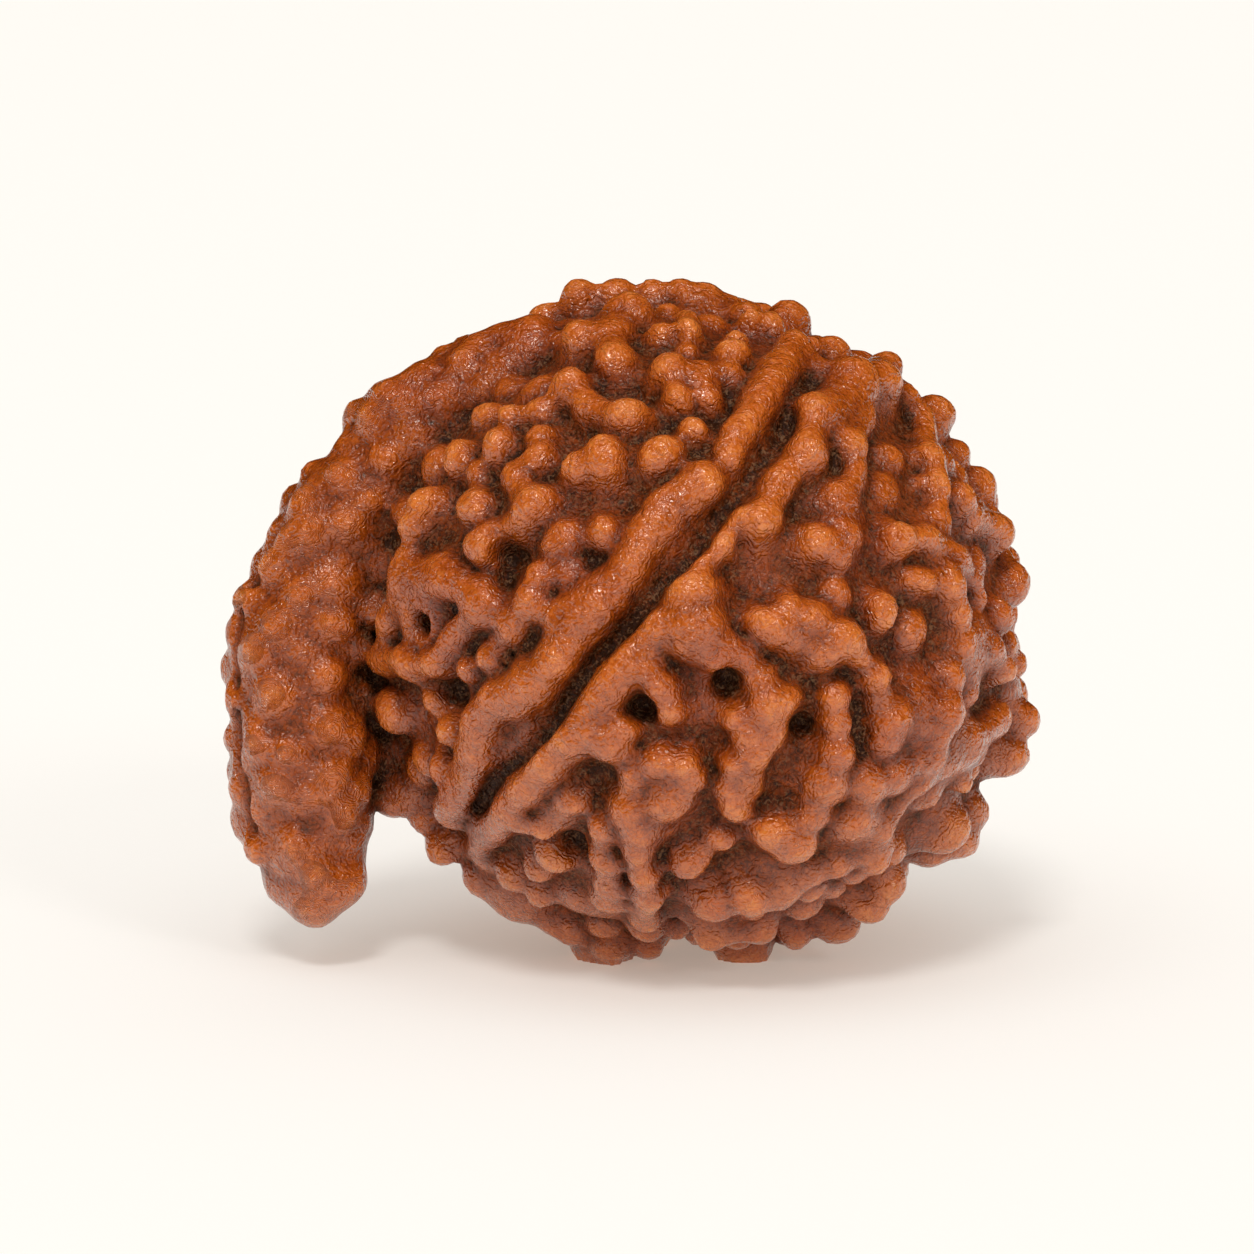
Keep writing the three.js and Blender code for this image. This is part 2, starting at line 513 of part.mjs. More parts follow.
// Warts on a golden-angle lattice, some linked to a neighbour, some left out as pits.
function hiddenWarts(given, seamMiddles) {
  const warts = [];
  const holes = [];
  const goldenTurn = Math.PI * (3 - Math.sqrt(5));
  for (let i = 0; i < hidden.count; i += 1) {
    const level = 1 - 2 * (i + 0.5) / hidden.count;
    const ring = Math.sqrt(1 - level * level);
    const turn = i * goldenTurn;
    const direction = new THREE.Vector3(Math.cos(turn) * ring, Math.sin(turn) * ring, level)
      .multiplyScalar(size.equatorRadius);
    const jitter = [-hidden.jitter, hidden.jitter];
    direction.add(new THREE.Vector3(draw(jitter), draw(jitter), draw(jitter)));
    const radius = draw(hidden.radius);
    const asPit = draw([0, 1]) < hidden.pitChance;
    const crest = wartAt(direction, radius, topOf(radius));
    if (!isHidden(crest.at, hidden.facing) || !clearOf(crest.at, given, hidden.clear)) continue;
    if (!clearOf(crest.at, seamMiddles, hidden.seamClear)) continue;
    if (asPit) holes.push(above(direction, 0));
    else warts.push(crest);
  }
  const links = [];
  warts.forEach((wart, i) => {
    warts.slice(i + 1).forEach((other) => {
      if (wart.at.distanceTo(other.at) > hidden.linkReach || draw([0, 1]) > hidden.linkChance) return;
      links.push(rooted([wart, other].map(({ at, radius }) => ({
        at: at.clone().addScaledVector(outward(at), -hidden.linkSink),
        radius: radius * hidden.linkSize,
      }))));
    });
  });
  return { strands: [...warts.map((wart) => rooted([wart])), ...links], holes };
}

// Small lumps on the floor, taken from the largest down where they clear what stands there already.
function fillers(given) {
  const goldenTurn = Math.PI * (3 - Math.sqrt(5));
  const crests = [...Array(filler.count).keys()].map((i) => {
    const level = 1 - 2 * (i + 0.5) / filler.count;
    const ring = Math.sqrt(1 - level * level);
    const turn = i * goldenTurn;
    const direction = new THREE.Vector3(Math.cos(turn) * ring, Math.sin(turn) * ring, level);
    const radius = draw(filler.radius);
    return wartAt(direction, radius, draw(filler.top));
  });
  crests.sort((one, other) => other.radius - one.radius);
  const kept = [];
  for (const crest of crests) {
    const apart = kept.every(({ at, radius }) => (
      at.distanceTo(crest.at) > (radius + crest.radius) * filler.apart
    ));
    if (apart && clearOf(crest.at, given, crest.radius * filler.clear)) kept.push(crest);
  }
  return kept.map((crest) => rooted([crest]));
}

// The feet stand in a ring round the weight, sunk into the floor by the cut.
function footStrands() {
  return [...Array(feet.count).keys()].map((i) => {
    const turn = (feet.turn + 360 * i / feet.count) * degree;
    const at = new THREE.Vector3(Math.cos(turn), Math.sin(turn), 0).multiplyScalar(feet.ring);
    at.add(new THREE.Vector3(weight.x, weight.y, feet.radius - feet.cut));
    return plain([{ at, radius: feet.radius }]);
  });
}

const seenStrands = Object.entries(strands).flatMap(([name, rows]) => (
  rows.map((row) => seenStrand(row, behindOutline.includes(name), ropes[name] ?? beads.neck))
));
const hornRun = plain(hornCurve.getPoints(32).map((at, i) => ({ at, radius: hornAt(i / 32).radius })));
const given = [...seenStrands, ...footStrands(), hornRun];
const backSeams = hiddenSeams(given);
const backWarts = hiddenWarts(given, backSeams.middles);
const hornFront = hornLumps.map(([x, y, radius]) => (
  plain([{ at: onHorn(x, y, radius - hornRelief), radius }])
));
const firstRaised = [
  ...given, ...hornFront, ...hornStrands(hornFront), ...backSeams.lips, ...backWarts.strands,
];

const along = (points, radius) => plain(points.map((at) => ({ at, radius })));
const seamPoints = seam.map(([x, y]) => onBody(x, y, seamBed.height));
const bedPoints = seam.map(([x, y]) => onBody(x, y, seamBed.height - seamBed.radius));
const cuts = [
  ...pits.map(([x, y, radius]) => cutAt(onBody(x, y, 0), radius, pitDepth)),
  ...backWarts.holes.map((point) => cutAt(point, hidden.pitRadius, pitDepth)),
  along(seamPoints, seamWidth / 2),
  ...backSeams.grooves.map((at) => along([at], seamWidth / 2)),
  along(hornFurrow.map(([x, y]) => onHorn(x, y, 0)), hornFurrowWidth / 2),
];
const raised = [
  ...firstRaised,
  along(bedPoints, seamBed.radius),
  ...swells.map(([x, y, radius, top]) => plain([{ at: onBody(x, y, top - radius), radius }])),
  ...fillers([...firstRaised, ...cuts, along(seamPoints, filler.seamRoom)]),
];

// Distance to the body's floor, an ellipsoid's usual estimate.
function bodyDistance(p) {
  const v = p.clone().sub(size.middle);
  const first = toBodyFrame(v, 0);
  const second = new THREE.Vector3(
    first.x / size.polarRadius, first.y / size.equatorRadius, first.z / size.equatorRadius,
  );
  return first.length() * (first.length() - 1) / second.length();
}

// The lattice that holds the whole stone with a cell to spare; the floor runs through the middle of
// one layer of cells.
const floorLayer = 1;
const lattice = {
  low: new THREE.Vector3(-14, -12.5, -(floorLayer + 0.5) * size.facet),
  steps: [28.6, 25.2, 24].map((length) => Math.ceil(length / size.facet)),
};
const [nx, ny, nz] = lattice.steps;
const nodeIndex = (i, j, k) => i + nx * (j + ny * k);
const nodePoint = (i, j, k, into) => into.set(i, j, k).multiplyScalar(size.facet).add(lattice.low);

// Calls visit for each lattice node within reach of a strand.
const strandReach = 1.2;
function nearStrand(strand, visit) {
  const box = new THREE.Box3();
  for (const { at, radius } of strand.flatMap(({ a, b }) => [a, b])) {
    box.expandByPoint(at.clone().addScalar(radius + strandReach));
    box.expandByPoint(at.clone().addScalar(-radius - strandReach));
  }
  const first = box.min.sub(lattice.low).divideScalar(size.facet).floor();
  const last = box.max.sub(lattice.low).divideScalar(size.facet).ceil();
  for (let k = Math.max(first.z, 0); k <= Math.min(last.z, nz - 1); k += 1) {
    for (let j = Math.max(first.y, 0); j <= Math.min(last.y, ny - 1); j += 1) {
      for (let i = Math.max(first.x, 0); i <= Math.min(last.x, nx - 1); i += 1) {
        visit(nodeIndex(i, j, k));
      }
    }
  }
}

// The skin is where this value is zero: all lumps flow together by a sum of falling exponentials, cuts
// are taken out in the same way, and the floor cuts the feet flat.
const largestPower = 300;
function fieldFrom(sum, cut, height) {
  const lumps = -size.blend * Math.log(sum);
  const carved = size.cutBlend * Math.log(
    Math.exp(Math.min(lumps / size.cutBlend, largestPower))
    + Math.exp(Math.min(-cut / size.cutBlend, largestPower)),
  );
  return Math.max(carved, -height);
}

const farFromCuts = 3;
function latticeField() {
  const count = nx * ny * nz;
  const sum = new Float64Array(count);
  const cut = new Float64Array(count).fill(farFromCuts);
  const points = new Float32Array(3 * count);
  const p = new THREE.Vector3();
  const shifted = new THREE.Vector3();
  for (let k = 0; k < nz; k += 1) {
    for (let j = 0; j < ny; j += 1) {
      for (let i = 0; i < nx; i += 1) {
        const n = nodeIndex(i, j, k);
        wandered(nodePoint(i, j, k, p), shifted).toArray(points, 3 * n);
        sum[n] = Math.exp(-bodyDistance(shifted) / size.blend);
      }
    }
  }
  for (const strand of raised) {
    nearStrand(strand, (n) => {
      sum[n] += Math.exp(-strandDistance(strand, p.fromArray(points, 3 * n)) / size.blend);
    });
  }
  for (const strand of cuts) {
    nearStrand(strand, (n) => {
      cut[n] = Math.min(cut[n], strandDistance(strand, p.fromArray(points, 3 * n)));
    });
  }
  const value = new Float64Array(count);
  for (let k = 0; k < nz; k += 1) {
    const height = lattice.low.z + k * size.facet;
    for (let n = nodeIndex(0, 0, k); n < nodeIndex(0, 0, k + 1); n += 1) {
      value[n] = fieldFrom(sum[n], cut[n], height);
    }
  }
  return value;
}

// Solid nodes that meet only along an edge or at a corner would pinch the skin, so the emptiest
// bridge between them is filled until none is left.
const fillTo = -0.03;
function fillPinches(value) {
  const steps = [1, nx, nx * ny];
  const corners = [...Array(8).keys()].map((c) => (
    (c & 1) * steps[0] + ((c >> 1) & 1) * steps[1] + ((c >> 2) & 1) * steps[2]
  ));
  const sides = [[0, 1, 2, 3], [0, 1, 4, 5], [0, 2, 4, 6]];
  let filled = true;
  const fill = (n, among) => {
    const empty = among.map((c) => n + corners[c]).filter((m) => value[m] >= 0);
    value[empty.reduce((best, m) => (value[m] < value[best] ? m : best))] = fillTo;
    filled = true;
  };
  const isSolid = (n, c) => value[n + corners[c]] < 0;
  while (filled) {
    filled = false;
    for (let n = 0; n < value.length - steps[2] - steps[1] - 1; n += 1) {
      const solid = corners.reduce((count, step) => count + (value[n + step] < 0), 0);
      if (solid === 0 || solid === 8) continue;
      for (const side of sides) {
        const [w, x, y, z] = side.map((c) => isSolid(n, c));
        if (w === z && x === y && w !== x) fill(n, side);
      }
      for (const c of [0, 1, 2, 3]) {
        const alike = isSolid(n, c) === isSolid(n, 7 - c);
        if (alike && solid === (isSolid(n, c) ? 2 : 6)) fill(n, [0, 1, 2, 3, 4, 5, 6, 7]);
      }
    }
  }
}

// Every node joined to start through nodes that pass the test.
function flood(start, passes) {
  const reached = new Uint8Array(nx * ny * nz);
  const queue = [start];
  reached[start] = 1;
  while (queue.length) {
    const n = queue.pop();
    for (const step of [1, -1, nx, -nx, nx * ny, -nx * ny]) {
      const m = n + step;
      if (m >= 0 && m < reached.length && !reached[m] && passes(m)) {
        reached[m] = 1;
        queue.push(m);
      }
    }
  }
  return reached;
}

// Drops loose scraps and fills sealed hollows.
function keepOneBody(value) {
  const p = size.middle.clone().sub(lattice.low).divideScalar(size.facet).round();
  const body = flood(nodeIndex(p.x, p.y, p.z), (n) => value[n] < 0);
  for (let n = 0; n < value.length; n += 1) {
    if (value[n] < 0 && !body[n]) value[n] = 0.5;
  }
  const outside = flood(0, (n) => value[n] >= 0);
  for (let n = 0; n < value.length; n += 1) {
    if (value[n] >= 0 && !outside[n]) value[n] = fillTo;
  }
}

// One vertex in each cell that the skin passes through, at the mean of its edge crossings, kept clear
// of its neighbours by a share of the cell.
const cellMargin = 0.1;
function cellVertex(value, i, j, k) {
  const total = new THREE.Vector3();
  const corner = new THREE.Vector3();
  let crossings = 0;
  for (let c = 0; c < 8; c += 1) {
    const bits = [c & 1, (c >> 1) & 1, (c >> 2) & 1];
    const here = value[nodeIndex(i + bits[0], j + bits[1], k + bits[2])];
    for (let a = 0; a < 3; a += 1) {
      if (bits[a]) continue;
      const next = bits.map((bit, b) => (a === b ? 1 : bit));
      const there = value[nodeIndex(i + next[0], j + next[1], k + next[2])];
      if ((here < 0) === (there < 0)) continue;
      total.add(corner.fromArray(bits).setComponent(a, here / (here - there)));
      crossings += 1;
    }
  }
  total.divideScalar(crossings).clampScalar(cellMargin, 1 - cellMargin);
  const settled = nodePoint(i, j, k, corner).addScaledVector(total, size.facet);
  if (k === floorLayer) settled.z = 0;
  return settled;
}

function skin(value) {
  const positions = [];
  const vertexOf = new Map();
  const vertex = (i, j, k) => {
    const n = nodeIndex(i, j, k);
    if (!vertexOf.has(n)) {
      vertexOf.set(n, positions.length / 3);
      positions.push(...cellVertex(value, i, j, k));
    }
    return vertexOf.get(n);
  };
  const triangles = [];
  for (let k = 1; k < nz - 1; k += 1) {
    for (let j = 1; j < ny - 1; j += 1) {
      for (let i = 1; i < nx - 1; i += 1) {
        const inside = value[nodeIndex(i, j, k)] < 0;
        for (let a = 0; a < 3; a += 1) {
          const next = [i, j, k];
          next[a] += 1;
          if (inside === value[nodeIndex(...next)] < 0) continue;
          const [u, v] = [(a + 1) % 3, (a + 2) % 3];
          const ring = [[0, 0], [-1, 0], [-1, -1], [0, -1]].map(([du, dv]) => {
            const cell = [i, j, k];
            cell[u] += du;
            cell[v] += dv;
            return vertex(...cell);
          });
          if (!inside) ring.reverse();
          triangles.push(...splitQuad(positions, ring));
        }
      }
    }
  }
  return { positions, triangles };
}

// Two triangles for a ring of four vertices, across its shorter diagonal.
function splitQuad(positions, [a, b, c, d]) {
  const at = (n) => new THREE.Vector3().fromArray(positions, 3 * n);
  if (at(a).distanceTo(at(c)) < at(b).distanceTo(at(d))) return [a, b, c, a, c, d];
  return [b, c, d, b, d, a];
}

// A vertex's quadric holds the summed squared distances to the planes of the triangles round it, as
// the ten terms of a symmetric matrix.
function planeQuadric(a, b, c) {
  const normal = b.clone().sub(a).cross(c.clone().sub(a));
  const area = normal.length();
  normal.divideScalar(area || 1);
  const { x, y, z } = normal;
  const d = -normal.dot(a);
  return [x * x, x * y, x * z, x * d, y * y, y * z, y * d, z * z, z * d, d * d].map((term) => term * area);
}

const addQuadric = (total, other) => other.forEach((term, i) => { total[i] += term; });

function quadricError([xx, xy, xz, xd, yy, yz, yd, zz, zd, dd], { x, y, z }) {
  return x * (xx * x + 2 * (xy * y + xz * z + xd)) + y * (yy * y + 2 * (yz * z + yd))
    + z * (zz * z + 2 * zd) + dd;
}

// Where two joined vertices fit their planes best, or halfway where the planes leave that open.
const leastDeterminant = 1e-3;
function bestPoint(quadric, a, b) {
  const [xx, xy, xz, xd, yy, yz, yd, zz, zd] = quadric;
  const halfway = a.clone().lerp(b, 0.5);
  const matrix = new THREE.Matrix3().set(xx, xy, xz, xy, yy, yz, xz, yz, zz);
  const scale = xx + yy + zz;
  if (matrix.determinant() < leastDeterminant * scale ** 3) return halfway;
  const best = new THREE.Vector3(-xd, -yd, -zd).applyMatrix3(matrix.invert());
  return best.distanceTo(halfway) < a.distanceTo(b) ? best : halfway;
}

const shortestEdge = 0.06;
const leastArea = 4e-3;      // twice a triangle's area
const leastTurn = 0.35;      // cosine of the furthest that a merge may turn a triangle
// Merges edges until few enough triangles are left. In each round edges are tried from the cheapest
// up, and an edge beside one that was merged in that round waits for the next.
function simplify(positions, triangles, most) {
  const at = [];
  for (let n = 0; n < positions.length; n += 3) at.push(new THREE.Vector3().fromArray(positions, n));
  const around = at.map(() => new Set());
  const quadrics = at.map(() => new Array(10).fill(0));
  const live = new Set();
  for (let n = 0; n < triangles.length; n += 3) {
    const face = triangles.slice(n, n + 3);
    const quadric = planeQuadric(...face.map((v) => at[v]));
    live.add(face);
    for (const v of face) {
      around[v].add(face);
      addQuadric(quadrics[v], quadric);
    }
  }
  const neighbours = (v) => new Set([...around[v]].flat().filter((w) => w !== v));
  const turnsOver = (face, moved, point) => {
    const before = face.map((v) => at[v]);
    const after = face.map((v) => (moved.includes(v) ? point : at[v]));
    const [old, now] = [before, after].map(([p, q, r]) => q.clone().sub(p).cross(r.clone().sub(p)));
    const tooClose = face.some((v) => !moved.includes(v) && at[v].distanceTo(point) < shortestEdge);
    return tooClose || now.dot(old) < leastTurn * now.length() * old.length() || now.length() < leastArea;
  };
  const merge = (a, b, point, quadric) => {
    at[a] = point;
    quadrics[a] = quadric;
    for (const face of [...around[b]]) {
      if (face.includes(a)) {
        live.delete(face);
        face.forEach((v) => around[v].delete(face));
      } else {
        face[face.indexOf(b)] = a;
        around[a].add(face);
      }
    }
    around[b].clear();
  };
  const shareOfRound = 0.2;
  while (live.size > most) {
    const edges = [];
    for (const face of live) {
      face.forEach((a, i) => {
        const b = face[(i + 1) % 3];
        if (a > b) return;
        const quadric = [...quadrics[a]];
        addQuadric(quadric, quadrics[b]);
        const point = bestPoint(quadric, at[a], at[b]);
        edges.push({ a, b, quadric, point, cost: quadricError(quadric, point) });
      });
    }
    edges.sort((one, other) => one.cost - other.cost);
    const touched = new Set();
    for (const { a, b, quadric, point } of edges.slice(0, edges.length * shareOfRound)) {
      if (live.size <= most) break;
      if (touched.has(a) || touched.has(b)) continue;
      const [nearA, nearB] = [neighbours(a), neighbours(b)];
      if ([...nearA].filter((v) => nearB.has(v)).length !== 2) continue;
      const kept = [...around[a], ...around[b]].filter((face) => !(face.includes(a) && face.includes(b)));
      if (kept.some((face) => turnsOver(face, [a, b], point))) continue;
      merge(a, b, point, quadric);
      [a, b, ...nearA, ...nearB].forEach((v) => touched.add(v));
    }
  }
  return [...live].flatMap((face) => face.flatMap((v) => at[v].toArray()));
}

// Vertices this close to the floor are on it.
const floorSnap = 0.03;
function stoneGeometry() {
  const value = latticeField();
  fillPinches(value);
  keepOneBody(value);
  fillPinches(value);
  const { positions, triangles } = skin(value);
  const corners = simplify(positions, triangles, size.mostTriangles)
    .map((v, n) => (n % 3 === 2 && v < floorSnap ? 0 : v));
  const loose = new THREE.BufferGeometry();
  loose.setAttribute('position', new THREE.Float32BufferAttribute(corners, 3));
  const geometry = mergeVertices(loose);
  geometry.computeVertexNormals();
  return geometry;
}

const stone = new THREE.Mesh(
  stoneGeometry(),
  new THREE.MeshStandardMaterial({ name: 'seed_wood', color: 0xa8562a, roughness: 0.42, metalness: 0 }),
);
stone.name = 'rudraksha_stone';

const group = new THREE.Group();
group.name = 'rudraksha_seed';
group.add(stone);

export default group;
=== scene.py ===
import math

import bpy
import numpy as np
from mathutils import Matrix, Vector


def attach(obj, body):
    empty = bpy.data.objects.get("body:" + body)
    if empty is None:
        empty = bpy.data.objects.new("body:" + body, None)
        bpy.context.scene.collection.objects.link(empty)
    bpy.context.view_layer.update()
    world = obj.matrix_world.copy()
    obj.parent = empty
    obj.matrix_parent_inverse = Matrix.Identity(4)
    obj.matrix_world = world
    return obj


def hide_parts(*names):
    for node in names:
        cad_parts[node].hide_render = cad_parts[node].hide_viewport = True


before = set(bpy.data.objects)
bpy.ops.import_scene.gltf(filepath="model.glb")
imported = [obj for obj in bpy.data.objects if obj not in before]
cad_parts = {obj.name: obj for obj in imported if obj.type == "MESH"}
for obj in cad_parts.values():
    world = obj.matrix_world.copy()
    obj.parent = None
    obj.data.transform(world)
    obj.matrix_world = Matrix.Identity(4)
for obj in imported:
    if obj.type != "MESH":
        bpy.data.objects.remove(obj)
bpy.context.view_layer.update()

degree = math.pi / 180
millimetre = 0.001


# The stone's driving sizes in millimetres. The solid that this finer skin replaces follows the same rule.
stone = {
    "polarRadius": 8.88,      # valley floor, along the stone's own axis
    "equatorRadius": 9.43,    # valley floor, across that axis
    "axisLean": 52,           # degrees the axis rises from the right-hand side
    "middle": (1.72, 0.0, 9.98),
    "wartBase": 0.34,         # a wart's top stands wartBase + wartRise * radius over the valley floor
    "wartRise": 1.15,
    "blend": 0.1,             # how softly neighbouring lumps flow together
    "cutBlend": 0.12,         # how soft the rims of pits and of the seam are
    "facet": 0.2,             # spacing of the lattice that the skin is drawn on
}
goldenTurn = math.pi * (3 - math.sqrt(5))    # the turn between neighbours that spreads points evenly

# Nothing on the stone is quite straight or round: every point is shifted by a sum of seeded waves,
# each by shift for a millimetre of its length.
wander = {"waves": 14, "length": (1.8, 4.0), "shift": 0.014}

# A lump is a round cone: its tip is tip times as wide as the radius it is given, its root is root
# times as wide, and the root lies rootDepth under the valley floor.
lump = {"root": 1.85, "tip": 1.03, "rootDepth": 0.35}
# Ropes of lumps: a bead at about every step, and a slimmer, lower neck between two beads; some
# ropes are smoother, and have thicker necks.
beads = {"step": 1.1, "neck": 0.78, "sink": 0.2, "size": (0.95, 1.14), "rise": (-0.14, 0.1)}
ropes = {"upperLip": 0.92, "lowerLip": 0.9, "lobeEdge": 0.85}

# The front's lumps are given where they are seen: x to the right and y up from the body's middle, in
# a plane through it that faces the eye. The eye looks down by tilt degrees, and sees width millimetres
# across at its distance.
eye = {"distance": 180.0, "tilt": 10.0, "x": -1.88, "y": -0.15, "width": 37.43}

